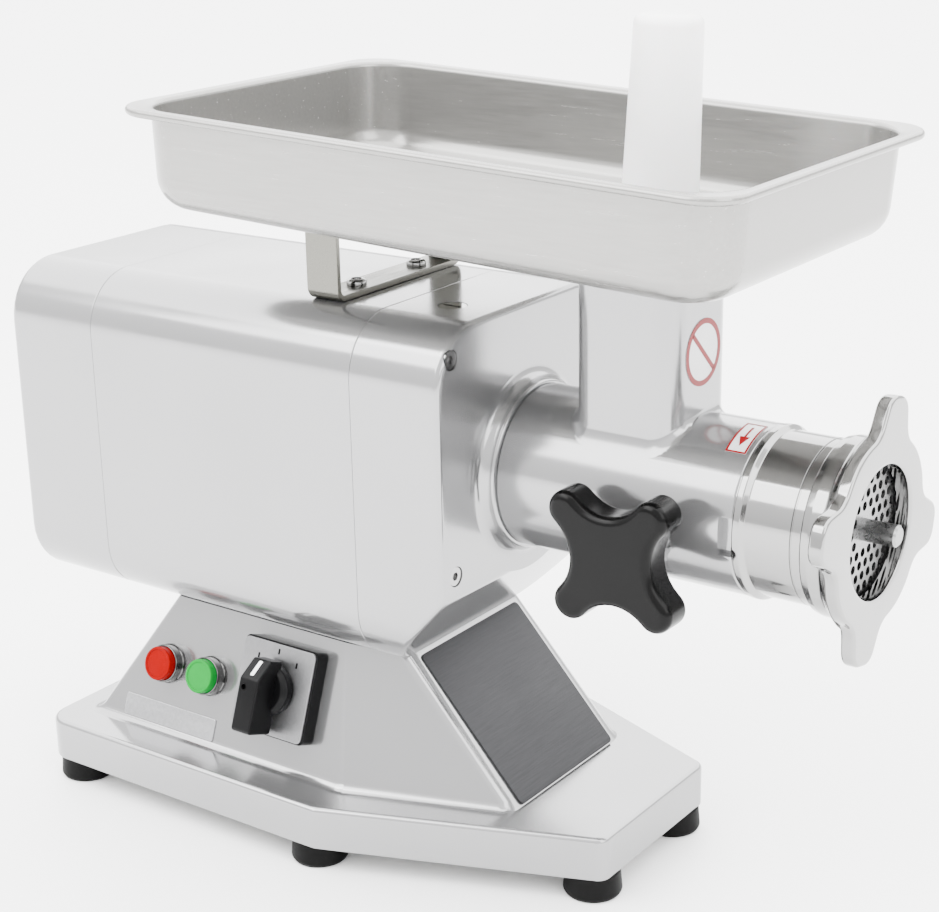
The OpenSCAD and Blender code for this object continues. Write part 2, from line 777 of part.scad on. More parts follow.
module tray() {
  color("silver") difference() {
    in_tray() difference() {
      union() {
        translate([0, 0, -0.5]) pan(0);
        translate([0, 0, -tray_t]) linear_extrude(height = tray_t) round_rect(tray_l, tray_w, tray_rim_r);
        translate([0, 0, -4]) linear_extrude(height = 4) difference() {
          round_rect(tray_l, tray_w, tray_rim_r);
          round_rect(tray_l - 5, tray_w - 5, tray_rim_r - 2.5);
        }
      }
      translate([0, 0, -0.49]) pan(tray_t);
      translate([0, 0, -0.49]) pan_mouth();
    }
    translate([neck_x, 0, axis_z]) linear_extrude(height = 200)
      round_rect(spigot_w + 1, spigot_w + 1, neck_r - 1.5);
  }
}

// Clears the thin skin that the pan leaves across its mouth
module pan_mouth() {
  skin = 2 * (tray_flange + tray_t);
  linear_extrude(height = 2) round_rect(tray_l - skin, tray_w - skin, pan_r - tray_t);
}

pusher_z0 = axis_z + auger_r + 2;
module pusher() {
  color("white") translate([neck_x - 0.5, 0, pusher_z0]) rotate([0, pusher_lean, 0]) rotate_extrude()
    polygon([[0, 0], [19.5, 0], [20.5, 1.5], [20.5, 8], [pusher_r0, 12], [pusher_r1, pusher_l - 3],
      [pusher_r1 - 1.5, pusher_l - 0.5], [pusher_r1 - 3.5, pusher_l], [0, pusher_l]]);
}

// ---- controls ----

bezel_r = 10;
button_r = 8.9;
module bezel() {
  translate([0, 0, -16]) difference() {
    cylinder(h = 23, r = bezel_r);
    translate([0, 0, -1]) cylinder(h = 25, r = button_r + GAP);
  }
}

module red_bezel() {
  color("silver") on_panel(red_x, button_s) bezel();
}

module green_bezel() {
  color("silver") on_panel(green_x, button_s) bezel();
}

module button() {
  rotate_extrude() polygon([[0, -14], [7, -14], [7, -3], [button_r, -3], [button_r, 9.8], [7.6, 11.2], [0, 11.6]]);
}

module red_button() {
  color("red") on_panel(red_x, button_s) button();
}

module green_button() {
  color("limegreen") on_panel(green_x, button_s) button();
}

module button_contacts() {
  color("#303030") for (x = [red_x, green_x]) on_panel(x, button_s) translate([-11, -14, -36])
    cube([22, 28, 16]);
}

switch_w = 48;
switch_t = 9;
module switch_frame() {
  color("#202020") on_panel(switch_x, switch_s) translate([0, 0, 0.02]) difference() {
    linear_extrude(height = switch_t) round_rect(switch_w, switch_w, 3);
    translate([0, 0, -1]) cylinder(h = switch_t + 2, r = 11);
  }
}

module switch_plate() {
  color("silver") on_panel(switch_x, switch_s) translate([0, 0, switch_t + 0.05])
    difference() {
    linear_extrude(height = 1) round_rect(switch_w - 1.5, switch_w - 1.5, 2.5);
    translate([0, 0, -1]) cylinder(h = 3, r = 11);
  }
}

module switch_knob() {
  color("#181818") on_panel(switch_x, switch_s) difference() {
    union() {
      translate([0, 0, switch_t + 1.4]) cylinder(h = 6, r = 13.3);
      translate([-6, 0, 0]) rotate([90, 0, 90]) linear_extrude(height = 12)
        polygon([[-22, 13], [15.5, 13], [15.5, 22], [5.5, 30], [-22, 30]]);
    }
    translate([0, 0, switch_t]) cylinder(h = 12, r = 4);
  }
}

module switch_spindle() {
  color("silver") on_panel(switch_x, switch_s) translate([0, 0, -14]) cylinder(h = 34.9, r = 4);
}

module switch_body() {
  color("#303030") on_panel(switch_x, switch_s) difference() {
    union() {
      translate([-19, -19, -46]) cube([38, 38, 38]);
      translate([0, 0, -9]) cylinder(h = 8.9, r = 11.5);
    }
    translate([0, 0, -15]) cylinder(h = 30, r = 4 + RUN);
  }
}

module badge() {
  color("whitesmoke") on_panel(-137.2, 8.8) translate([-32, -6, 0.02]) cube([64, 12, 0.8]);
}

module capacitor() {
  color("lightgray") bar_x(-140, -72, 17, 24, base_z1 + 24);
}

module terminal_block() {
  color("whitesmoke") translate([-40, 4, base_z1 + 0.05]) difference() {
    cube([44, 18, 14]);
    for (k = [0:3]) translate([7 + 10 * k, 9, 6]) cylinder(h = 10, r = 3);
  }
}

module cable_gland() {
  color("#202020") difference() {
    union() {
      bar_x(base_x0 - 13, base_x0 - 0.05, 9.5, gland_y, gland_z);
      bar_x(base_x0 - 1, base_x0 + base_wall + 8, gland_r, gland_y, gland_z);
    }
    bar_x(base_x0 - 20, base_x0 + 20, 4, gland_y, gland_z);
  }
}

base_plate();
bottom_cover();
rubber_feet();
foot_screws();
pedestal();
slope_plate();
body_shell();
rear_cover();
front_cover();
cover_screws();
oil_plug();
rear_shield();
gear_bulkhead();
motor_tube();
stator();
windings();
motor_bearings();
rotor();
motor_shaft();
motor_pinion();
cooling_fan();
intermediate_shaft();
intermediate_gear();
intermediate_pinion();
intermediate_bearings();
output_gear();
output_shaft();
output_bearing();
oil_seal();
grinding_head();
head_ring();
auger();
knife();
grinding_plate();
ring_nut();
clamp_boss();
clamp_knob();
clamp_stud();
tray_bracket();
bracket_bolts();
tray();
pusher();
red_bezel();
green_bezel();
red_button();
green_button();
button_contacts();
switch_frame();
switch_plate();
switch_knob();
switch_spindle();
switch_body();
badge();
capacitor();
terminal_block();
cable_gland();
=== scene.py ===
import json
import math
import bmesh
import bpy
from mathutils import Matrix, Vector


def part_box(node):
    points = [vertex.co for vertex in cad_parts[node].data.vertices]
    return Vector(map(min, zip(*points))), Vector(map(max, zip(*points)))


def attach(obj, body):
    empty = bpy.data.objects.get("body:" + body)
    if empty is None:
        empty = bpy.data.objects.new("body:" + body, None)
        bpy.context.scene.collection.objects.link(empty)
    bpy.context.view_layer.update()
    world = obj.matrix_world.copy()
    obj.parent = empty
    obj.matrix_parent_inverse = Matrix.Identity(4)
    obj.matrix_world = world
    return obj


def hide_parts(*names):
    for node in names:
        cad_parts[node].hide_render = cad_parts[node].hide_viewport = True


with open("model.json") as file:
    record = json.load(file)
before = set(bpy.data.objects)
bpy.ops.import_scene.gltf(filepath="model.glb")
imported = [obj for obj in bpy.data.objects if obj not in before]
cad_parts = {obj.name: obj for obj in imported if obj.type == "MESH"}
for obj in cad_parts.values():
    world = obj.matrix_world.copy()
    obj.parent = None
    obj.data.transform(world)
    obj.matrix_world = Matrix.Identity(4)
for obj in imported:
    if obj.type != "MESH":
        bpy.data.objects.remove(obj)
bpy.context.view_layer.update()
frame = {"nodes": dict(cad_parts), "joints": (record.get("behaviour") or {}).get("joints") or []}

# Electric meat grinder, +X towards the outlet, +Z up, metres.

MM = 0.001
WELD = 1e-6
NODES = frame["nodes"]
JOINTS = {joint["name"]: joint for joint in frame["joints"]}


# ---- places taken from the frame ----

def low(node):
    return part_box(node)[0]


def high(node):
    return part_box(node)[1]


def middle(node):
    lo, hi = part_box(node)
    return (lo + hi) / 2


AXIS_Z = JOINTS["auger_spin"]["pos_m"][2]
REAR_X = low("rear_cover").x
SEAM_REAR_X = low("body_shell").x
SEAM_FRONT_X = low("front_cover").x
FRONT_X = SEAM_FRONT_X + 51 * MM
HOUSING_HW = high("body_shell").y
HOUSING_Z0 = low("body_shell").z
HOUSING_Z1 = high("body_shell").z
BASE_Z0 = low("base_plate").z
BASE_Z1 = high("base_plate").z
BASE_X0 = low("base_plate").x
BASE_X1 = high("base_plate").x
BASE_HW = high("base_plate").y
BARREL_X1 = high("grinding_head").x
NECK_TOP = high("grinding_head").z
HEAD_X0 = FRONT_X + 8 * MM
NUT_X0 = low("ring_nut").x
NUT_X1 = high("ring_nut").x
KNOB = Vector(JOINTS["knob_turn"]["pos_m"])
KNOB_FACE_Y = low("clamp_knob").y
PANEL_N = -Vector(JOINTS["red_press"]["axis"])
PANEL_UP = Vector((0, PANEL_N.z, -PANEL_N.y))
SELECTOR = Vector(JOINTS["selector_turn"]["pos_m"]) - PANEL_N * 8 * MM

# Sizes of the castings that the frame doesn't state as a box
HOUSING_R = 30 * MM
WALL = 5 * MM
REAR_EDGE_R = 5 * MM
CHAMFER_Z = HOUSING_Z0 + 43.5 * MM
CHAMFER_X = SEAM_FRONT_X + 11.5 * MM
BASE_KINK_X = -19 * MM
BASE_FRONT_HW = 48 * MM
# Corners of the pedestal at the base and at the housing, and their radii, in mm
PEDESTAL_FOOT = [(-190, -78.5), (-19, -78.5), (66, -49.5), (66, 49.5), (-19, 78.5), (-190, 78.5)]
PEDESTAL_TOP = [(-148, -53), (-32, -53), (4, -49.5), (4, 49.5), (-32, 53), (-148, 53)]
PEDESTAL_R = [5, 14, 8, 8, 14, 5]
BARREL_R = 39.5 * MM
HEAD_BORE_R = 32 * MM
NECK_X = 111.5 * MM
NECK_HW = 27 * MM
NECK_R = 12 * MM
HUB_R = 41.5 * MM
TRAY_TILT = math.radians(2.4)
TRAY_MID = Vector((39.5 * MM, 0, 364 * MM))
TRAY_HALF = (163 * MM, 100 * MM)
TRAY_RIM_R = 20 * MM
TRAY_PAN_R = 28 * MM
TRAY_DEPTH = 49 * MM
PUSHER_FOOT = Vector((111 * MM, 0, 230.9 * MM))
PUSHER_LEAN = math.radians(2.5)
PUSHER_L = 182.8 * MM
SCREWS = [(side * 61.5 * MM, z) for side in (-1, 1) for z in (HOUSING_Z1 - 14 * MM, 158 * MM)]
PLUG = (18 * MM, -24 * MM)


# ---- outlines ----

def fillet(points, radii, closed=True, steps=6):
    """Points of a path whose corners are rounded with the given radii."""
    count = len(points)
    if not isinstance(radii, (list, tuple)):
        radii = [radii] * count
    out = []
    for i, point in enumerate(points):
        p = Vector(point)
        if not closed and i in (0, count - 1):
            out.append(p)
            continue
        u = (Vector(points[i - 1]) - p).normalized()
        v = (Vector(points[(i + 1) % count]) - p).normalized()
        half = math.acos(max(-1, min(1, u.dot(v)))) / 2
        if radii[i] <= 0 or half > math.pi / 2 - 1e-3:
            out.extend([p.copy() for _ in range(steps + 1)])
            continue
        centre = p + (u + v).normalized() * radii[i] / math.sin(half)
        start = p + u * radii[i] / math.tan(half) - centre
        end = p + v * radii[i] / math.tan(half) - centre
        a0 = math.atan2(start.y, start.x)
        sweep = math.atan2(end.y, end.x) - a0
        sweep = (sweep + math.pi) % (2 * math.pi) - math.pi
        for k in range(steps + 1):
            a = a0 + sweep * k / steps
            out.append(centre + radii[i] * Vector((math.cos(a), math.sin(a))))
    return out


def shrink(points, distance):
    """Polygon moved inwards, for points that run counterclockwise."""
    out = []
    for i, point in enumerate(points):
        p = Vector(point)
        a = (p - Vector(points[i - 1])).normalized()
        b = (Vector(points[(i + 1) % len(points)]) - p).normalized()
        na = Vector((-a.y, a.x))
        nb = Vector((-b.y, b.x))
        out.append(p + (na + nb) * distance / (1 + na.dot(nb)))
    return out


def rect(half_w, half_h, centre=(0, 0)):
    cx, cy = centre
    return [(cx - half_w, cy - half_h), (cx + half_w, cy - half_h),
            (cx + half_w, cy + half_h), (cx - half_w, cy + half_h)]


def rounded(points, radius, steps=6, least=0.4 * MM):
    """Function of an inset that gives the rounded polygon shrunk by it."""
    def at(inset=0.0):
        radii = radius if isinstance(radius, (list, tuple)) else [radius] * len(points)
        convex = [max(r - inset, least) if r >= 0 else -r + inset for r in radii]
        return fillet(shrink(points, inset), convex, True, steps)
    return at


def smooth_outline(points):
    """Function of an inset for an outline of many points, moved along its own normals."""
    pts = [Vector(p) for p in points]

    def at(inset=0.0):
        out = []
        for i, p in enumerate(pts):
            t = (pts[(i + 1) % len(pts)] - pts[i - 1]).normalized()
            out.append(p + Vector((-t.y, t.x)) * inset)
        return out
    return at


def lobes(tip_r, half_w, valley, turn=0.0, steps=8):
    """Outline of four lobes; valley lists the corners between two lobes with their radii."""
    points, radii = [], []
    for k in range(4):
        spin = Matrix.Rotation(turn + k * math.pi / 2, 2)
        for p, r in (((tip_r, -half_w), half_w * 0.97), ((tip_r, half_w), half_w * 0.97), *valley):
            points.append(spin @ Vector(p))
            radii.append(r)
    return fillet(points, radii, True, steps)


def evenly(outline, count):
    """Closed outline with its points at equal distances."""
    lengths = [(outline[(i + 1) % len(outline)] - p).length for i, p in enumerate(outline)]
    step = sum(lengths) / count
    points, i, done = [], 0, 0.0
    for k in range(count):
        while done + lengths[i] < k * step and i < len(outline) - 1:
            done += lengths[i]
            i += 1
        share = (k * step - done) / lengths[i] if lengths[i] > 0 else 0
        points.append(outline[i].lerp(outline[(i + 1) % len(outline)], share))
    return points


def rims(h0, h1, r0, r1, steps=4):
    """(height, inset) stations of a prism whose two rims are rounded."""
    out = []
    for k in range(steps + 1 if r0 > 0 else 1):
        a = math.pi / 2 * (k / steps if r0 > 0 else 1)
        out.append((h0 + r0 * (1 - math.cos(a)), r0 * (1 - math.sin(a))))
    for k in range(steps + 1 if r1 > 0 else 1):
        a = math.pi / 2 * (k / steps if r1 > 0 else 0)
        out.append((h1 - r1 * (1 - math.sin(a + (math.pi / 2 if r1 <= 0 else 0))),
                    r1 * (1 - math.cos(a))))
    return out


# ---- meshes ----

def along_x(u, v, h):
    return Vector((h, u, v))


def along_z(u, v, h):
    return Vector((u, v, h))


def panel_frame(origin):
    side = Vector((1, 0, 0))

    def place(u, v, h):
        return origin + side * u + PANEL_UP * v + PANEL_N * h
    return place


def add_object(name, mesh, material, body, replaces=(), sharp=35, weighted=True):
    obj = bpy.data.objects.new(name, mesh)
    bpy.context.scene.collection.objects.link(obj)
    mesh.materials.append(material)
    for polygon in mesh.polygons:
        polygon.use_smooth = True
    mesh.set_sharp_from_angle(angle=math.radians(sharp))
    if weighted:
        normals = obj.modifiers.new("normals", "WEIGHTED_NORMAL")
        normals.keep_sharp = True
        normals.weight = 100
    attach(obj, body)
    if replaces:
        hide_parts(*replaces)
    return obj


def loft_mesh(rings, closed=False, caps=(True, True)):
    """Bmesh through rings of equal length; a ring of one point is a pole."""
    bm = bmesh.new()
    made = [[bm.verts.new(p) for p in ring] for ring in rings]
    pairs = list(zip(made, made[1:]))
    if closed:
        pairs.append((made[-1], made[0]))
    for a, b in pairs:
        count = max(len(a), len(b))
        for i in range(count):
            j = (i + 1) % count
            corners = [a[i % len(a)], a[j % len(a)], b[j % len(b)], b[i % len(b)]]
            unique = list(dict.fromkeys(corners))
            if len(unique) > 2:
                try:
                    bm.faces.new(unique)
                except ValueError:
                    pass
    if not closed:
        for ring, wanted in ((made[0], caps[0]), (made[-1], caps[1])):
            if wanted and len(ring) > 2:
                bm.faces.new(ring)
    bmesh.ops.remove_doubles(bm, verts=bm.verts, dist=WELD)
    bmesh.ops.recalc_face_normals(bm, faces=bm.faces)
    return bm


def to_mesh(bm, name):
    bmesh.ops.triangulate(bm, faces=[f for f in bm.faces if len(f.verts) > 4])
    mesh = bpy.data.meshes.new(name)
    bm.to_mesh(mesh)
    bm.free()
    return mesh


def prism_bm(outline, stations, place, caps=(True, True)):
    rings = [[place(p.x, p.y, h) for p in outline(inset)] for h, inset in stations]
    return loft_mesh(rings, caps=caps)


def lathe_bm(profile, place, steps=96):
    """Solid turned about the local h axis of place; profile is [(radius, h)]."""
    rings = []
    for r, h in profile:
        if r < 1e-7:
            rings.append([place(0, 0, h)])
        else:
            rings.append([place(r * math.cos(2 * math.pi * k / steps),
                                r * math.sin(2 * math.pi * k / steps), h) for k in range(steps)])
    return loft_mesh(rings, closed=profile[0][0] > 1e-7 and profile[-1][0] > 1e-7)


def x_place(centre_y=0.0, centre_z=None):
    z = AXIS_Z if centre_z is None else centre_z
    return lambda u, v, h: Vector((h, centre_y + u, z + v))


def z_place(x, y):
    return lambda u, v, h: Vector((x + u, y + v, h))


def join(parts):
    bm = bmesh.new()
    for part in parts:
        mesh = bpy.data.meshes.new("part")
        part.to_mesh(mesh)
        part.free()
        bm.from_mesh(mesh)
        bpy.data.meshes.remove(mesh)
    return bm


def carve(bm, cutters, operation="DIFFERENCE"):
    """Bmesh after an exact boolean with each cutter in turn."""
    target = bpy.data.objects.new("target", to_mesh(bm, "target"))
    bpy.context.scene.collection.objects.link(target)
    for cutter in cutters:
        tool = bpy.data.objects.new("tool", to_mesh(cutter, "tool"))
        bpy.context.scene.collection.objects.link(tool)
        cut = target.modifiers.new("cut", "BOOLEAN")
        cut.operation = operation
        cut.solver = "EXACT"
        cut.object = tool
        bpy.context.view_layer.update()
        graph = bpy.context.evaluated_depsgraph_get()
        mesh = bpy.data.meshes.new_from_object(target.evaluated_get(graph))
        target.modifiers.clear()
        target.data = mesh
        bpy.data.objects.remove(tool)
    out = bmesh.new()
    out.from_mesh(target.data)
    bpy.data.objects.remove(target)
    return out


# ---- materials ----

class Look:
    """A new material with its node tree and principled shader."""

    def __init__(self, name, color, metallic, roughness, **sockets):
        self.material = bpy.data.materials.new(name)
        self.material.use_nodes = True
        self.tree = self.material.node_tree
        self.shader = self.tree.nodes["Principled BSDF"]
        self.shader.inputs["Base Color"].default_value = (*color, 1)
        self.shader.inputs["Metallic"].default_value = metallic
        self.shader.inputs["Roughness"].default_value = roughness
        for key, value in sockets.items():
            self.shader.inputs[key.replace("_", " ")].default_value = value
        self.coords = self.tree.nodes.new("ShaderNodeTexCoord").outputs["Object"]
        self.height = None

    def stretched(self, scale):
        mapping = self.tree.nodes.new("ShaderNodeMapping")
        mapping.inputs["Scale"].default_value = scale
        self.tree.links.new(self.coords, mapping.inputs["Vector"])
        return mapping.outputs["Vector"]

    def noise(self, scale, detail=4.0, roughness=0.55, stretch=None):
        node = self.tree.nodes.new("ShaderNodeTexNoise")
        node.inputs["Scale"].default_value = scale
        node.inputs["Detail"].default_value = detail
        node.inputs["Roughness"].default_value = roughness
        self.tree.links.new(self.stretched(stretch) if stretch else self.coords, node.inputs["Vector"])
        return node.outputs["Fac"]

    def ramp(self, value, low_in, high_in, low_out, high_out):
        node = self.tree.nodes.new("ShaderNodeMapRange")
        node.inputs["From Min"].default_value = low_in
        node.inputs["From Max"].default_value = high_in
        node.inputs["To Min"].default_value = low_out
        node.inputs["To Max"].default_value = high_out
        self.tree.links.new(value, node.inputs["Value"])
        return node.outputs["Result"]

    def blend(self, factor, a, b):
        node = self.tree.nodes.new("ShaderNodeMix")
        node.data_type = "RGBA"
        node.inputs["A"].default_value = (*a, 1)
        node.inputs["B"].default_value = (*b, 1)
        self.tree.links.new(factor, node.inputs["Factor"])
        return node.outputs["Result"]

    def to(self, socket, value):
        self.tree.links.new(value, self.shader.inputs[socket])

    def bump(self, value, strength, distance):
        node = self.tree.nodes.new("ShaderNodeBump")
        node.inputs["Strength"].default_value = strength
        node.inputs["Distance"].default_value = distance
        self.tree.links.new(value, node.inputs["Height"])
        if self.height:
            self.tree.links.new(self.height, node.inputs["Normal"])
        self.height = node.outputs["Normal"]
        self.to("Normal", self.height)


def polished_casting(name="cast_aluminium", tone=0.88, rough=(0.17, 0.27), metallic=0.86):
    look = Look(name, (tone, tone, tone * 1.01), metallic, 0.25)
    cloud = look.noise(9, 3)
    grain = look.noise(260, 5, 0.6, (1, 1, 0.3))
    look.to("Base Color", look.blend(look.ramp(cloud, 0.3, 0.7, 0, 1), (tone, tone, tone * 1.01),
                                     (tone * 0.95, tone * 0.95, tone * 0.96)))
    look.to("Roughness", look.ramp(cloud, 0.3, 0.7, *rough))
    look.bump(cloud, 0.10, 0.001)
    look.bump(look.noise(45, 2), 0.05, 0.0004)
    look.bump(grain, 0.02, 0.0001)
    return look.material


def brushed(name, color, rough=(0.2, 0.34), stretch=(3, 45, 45), strength=0.08, metallic=1.0, shade=0.86):
    look = Look(name, color, metallic, 0.3, Anisotropic=0.4)
    streak = look.noise(18, 6, 0.65, stretch)
    cloud = look.noise(11, 3)
    darker = tuple(c * shade for c in color)
    look.to("Base Color", look.blend(look.ramp(streak, 0.3, 0.7, 0, 1), darker, color))
    look.to("Roughness", look.ramp(streak, 0.3, 0.7, *rough))
    look.bump(cloud, 0.10, 0.001)
    look.bump(streak, strength, 0.0003)
    return look.material


def polished_steel(name="polished_steel", tone=0.8, rough=(0.06, 0.13)):
    look = Look(name, (tone, tone * 0.995, tone * 0.985), 1.0, 0.1)
    look.to("Roughness", look.ramp(look.noise(70, 4), 0.3, 0.7, *rough))
    look.bump(look.noise(35, 3), 0.10, 0.0004)
    look.bump(look.noise(900, 3), 0.02, 0.0001)
    return look.material


def moulded(name, color, rough=(0.32, 0.48), grain=1400, strength=0.12, **sockets):
    look = Look(name, color, 0.0, 0.4, **sockets)
    cloud = look.noise(30, 3)
    lighter = tuple(min(1, c * 1.2 + 0.0005) for c in color)
    look.to("Base Color", look.blend(look.ramp(cloud, 0.3, 0.7, 0, 1), color, lighter))
    look.to("Roughness", look.ramp(cloud, 0.3, 0.7, *rough))
    look.bump(look.noise(grain, 3), strength, 0.0002)
    return look.material


CAST = polished_casting(tone=0.29, rough=(0.12, 0.22), metallic=0.8)
CAST_ROUGH = polished_casting("cast_inside", 0.3, (0.45, 0.6))
TRAY_STEEL = brushed("tray_steel", (0.27, 0.266, 0.255), (0.17, 0.28), (2, 30, 30), 0.06, 0.68)
STRIP_STEEL = brushed("strip_steel", (0.15, 0.147, 0.13), (0.24, 0.38), (45, 3, 45))
SLOPE_STEEL = brushed("slope_steel", (0.036, 0.036, 0.038), (0.36, 0.5), (60, 3, 60), 0.25, 0.9, 0.62)
PLATE_STEEL = brushed("plate_steel", (0.26, 0.26, 0.26), (0.22, 0.36), (40, 40, 40))
FACE_STEEL = brushed("face_steel", (0.24, 0.24, 0.245), (0.28, 0.4), (45, 3, 45), 0.1)
BADGE_STEEL = brushed("badge_steel", (0.42, 0.42, 0.43), (0.16, 0.26), (30, 3, 30), 0.06)
STEEL = polished_steel(tone=0.26)
CHROME = polished_steel("chrome", 0.3, (0.05, 0.1))
DARK_CHROME = polished_steel("dark_chrome", 0.08, (0.08, 0.16))
DARK_STEEL = polished_steel("dark_steel", 0.13, (0.3, 0.42))
RUBBER = moulded("rubber", (0.0025, 0.0025, 0.0025), (0.45, 0.62), 900, 0.25, Specular_IOR_Level=0.06)
BLACK_GLOSS = moulded("black_gloss", (0.0012, 0.0012, 0.0012), (0.16, 0.26), 900, 0.06,
                      Specular_IOR_Level=0.09)
BLACK_SATIN = moulded("black_satin", (0.0016, 0.0016, 0.0018), (0.3, 0.42), 1600, 0.12,
                      Specular_IOR_Level=0.09)
WHITE_PLASTIC = moulded("white_plastic", (0.88, 0.88, 0.87), (0.3, 0.4), 300, 0.06,
                        Subsurface_Weight=0.15, Subsurface_Scale=0.01)
RED_LENS = moulded("red_lens", (0.15, 0.0, 0.0), (0.2, 0.28), 500, 0.05, Specular_IOR_Level=0.03)
GREEN_LENS = moulded("green_lens", (0.0, 0.17, 0.02), (0.2, 0.28), 500, 0.05, Specular_IOR_Level=0.03)
WHITE_MARK = moulded("white_mark", (0.85, 0.85, 0.85), (0.35, 0.5), 500, 0.05)
RED_INK = moulded("red_ink", (0.17, 0.0, 0.002), (0.3, 0.4), 500, 0.04, Specular_IOR_Level=0.15)
LABEL_WHITE = moulded("label_white", (0.6, 0.6, 0.6), (0.25, 0.35), 300, 0.03)
COPPER = brushed("winding_copper", (0.72, 0.32, 0.16), (0.3, 0.45), (60, 12, 12), 0.5)
LAMINATE = brushed("laminated_iron", (0.28, 0.29, 0.31), (0.4, 0.55), (120, 3, 3), 0.6)
PALE_PLASTIC = moulded("pale_plastic", (0.72, 0.7, 0.66), (0.4, 0.5), 800, 0.1)


# ---- housing ----

HOUSING_ZC = (HOUSING_Z0 + HOUSING_Z1) / 2
housing_section = rounded(rect(HOUSING_HW, HOUSING_ZC - HOUSING_Z0, (0, HOUSING_ZC)), HOUSING_R, 10)
SEAM_EDGE = 0.6 * MM


def housing_ring(x, inset):
    return [along_x(p.x, p.y, x) for p in housing_section(inset)]


def make_body_shell():
    outer = [housing_ring(h, i) for h, i in rims(SEAM_REAR_X, SEAM_FRONT_X, SEAM_EDGE, SEAM_EDGE, 3)]
    inner = [housing_ring(x, WALL) for x in (SEAM_FRONT_X, SEAM_REAR_X)]
    add_object("body_shell_skin", to_mesh(loft_mesh(outer + inner, closed=True), "body_shell"), CAST,
               "frame", ["body_shell"])


def make_rear_cover():
    outer = []
    steps = 5
    for k in range(steps + 1):
        a = math.pi / 2 * k / steps
        outer.append(housing_ring(REAR_X + REAR_EDGE_R * (1 - math.cos(a)),
                                  REAR_EDGE_R * (1 - math.sin(a))))
    outer += [housing_ring(h, i) for h, i in rims(REAR_X + 30 * MM, SEAM_REAR_X, 0, SEAM_EDGE, 3)[1:]]
    inner = [housing_ring(x, WALL) for x in (SEAM_REAR_X, REAR_X + WALL)]
    bm = loft_mesh(outer + inner)
    slots = []
    for side in (-1, 1):
        for k in range(5):
            centre = (side * 38 * MM, 167.5 * MM + 12 * MM * k)
            outline = rounded(rect(20 * MM, 2.5 * MM, centre), 2.4 * MM, 5)
            slots.append(prism_bm(outline, [(REAR_X - 5 * MM, 0), (REAR_X + 2 * WALL, 0)], along_x))
    add_object("rear_cover_skin", to_mesh(carve(bm, [join(slots)]), "rear_cover"), CAST, "frame",
               ["rear_cover"])


def cut_corner(bm, faces, inset):
    """Cuts off the lower front corner by the slanted plane and caps the cut."""
    along = Vector((FRONT_X - CHAMFER_X, 0, CHAMFER_Z - HOUSING_Z0)).normalized()
    normal = Vector((along.z, 0, -along.x))
    point = Vector((CHAMFER_X, 0, HOUSING_Z0)) - normal * inset
    verts = list({v for f in faces for v in f.verts})
    sides = list({e for f in faces for e in f.edges})
    cut = bmesh.ops.bisect_plane(bm, geom=verts + sides + faces, plane_co=point, plane_no=normal,
                                 clear_outer=True)
    edges = [e for e in cut["geom_cut"] if isinstance(e, bmesh.types.BMEdge)]
    bmesh.ops.contextual_create(bm, geom=edges)
    return edges


def make_front_cover():
    edge = 3.2 * MM
    outer = [housing_ring(h, i) for h, i in rims(SEAM_FRONT_X, FRONT_X, SEAM_EDGE, edge, 4)]
    inner = [housing_ring(x, WALL) for x in (FRONT_X - WALL, SEAM_FRONT_X)]
    outer_bm = loft_mesh(outer, caps=(False, True))
    edges = cut_corner(outer_bm, list(outer_bm.faces), 0)
    bmesh.ops.bevel(outer_bm, geom=edges, offset=2.2 * MM, segments=3, profile=0.5, affect="EDGES",
                    clamp_overlap=False)
    inner_bm = loft_mesh(inner, caps=(True, False))
    cut_corner(inner_bm, list(inner_bm.faces), WALL)
    bmesh.ops.reverse_faces(inner_bm, faces=list(inner_bm.faces))
    rim = loft_mesh([outer[0], inner[-1]], caps=(False, False))
    bm = join([outer_bm, inner_bm, rim])
    bmesh.ops.remove_doubles(bm, verts=bm.verts, dist=WELD)
    bmesh.ops.recalc_face_normals(bm, faces=bm.faces)
    screw_r, plug_r = 5 * MM, 7.2 * MM
    holes = [lathe_bm([(0, FRONT_X - 3 * MM), (screw_r, FRONT_X - 3 * MM), (screw_r, FRONT_X + 3 * MM),
                       (0, FRONT_X + 3 * MM)], x_place(y, z), 32) for y, z in SCREWS]
    holes.append(lathe_bm([(0, HOUSING_Z1 - 2.6 * MM), (plug_r, HOUSING_Z1 - 2.6 * MM),
                           (plug_r, HOUSING_Z1 + 3 * MM), (0, HOUSING_Z1 + 3 * MM)], z_place(*PLUG), 48))
    bm = carve(bm, [join(holes)])
    add_object("front_cover_skin", to_mesh(bm, "front_cover"), CAST, "frame", ["front_cover"])
    hub_hole_r = 28 * MM
    profile = fillet([(hub_hole_r, HEAD_X0), (HUB_R, HEAD_X0), (HUB_R, FRONT_X),
                      (HUB_R + 13 * MM, FRONT_X - 0.1 * MM), (HUB_R + 12 * MM, FRONT_X - 2 * MM),
                      (hub_hole_r, FRONT_X - 2 * MM)],
                     [0, 1.6 * MM, 6.5 * MM, 0, 0, 0], True, 6)
    add_object("front_cover_hub", to_mesh(lathe_bm([(p.x, p.y) for p in profile], x_place()), "hub"), CAST,
               "frame", ["front_cover"])


# ---- base and pedestal ----

BASE_POINTS = [(BASE_X0, -BASE_HW), (BASE_KINK_X, -BASE_HW), (BASE_X1, -BASE_FRONT_HW),
               (BASE_X1, BASE_FRONT_HW), (BASE_KINK_X, BASE_HW), (BASE_X0, BASE_HW)]


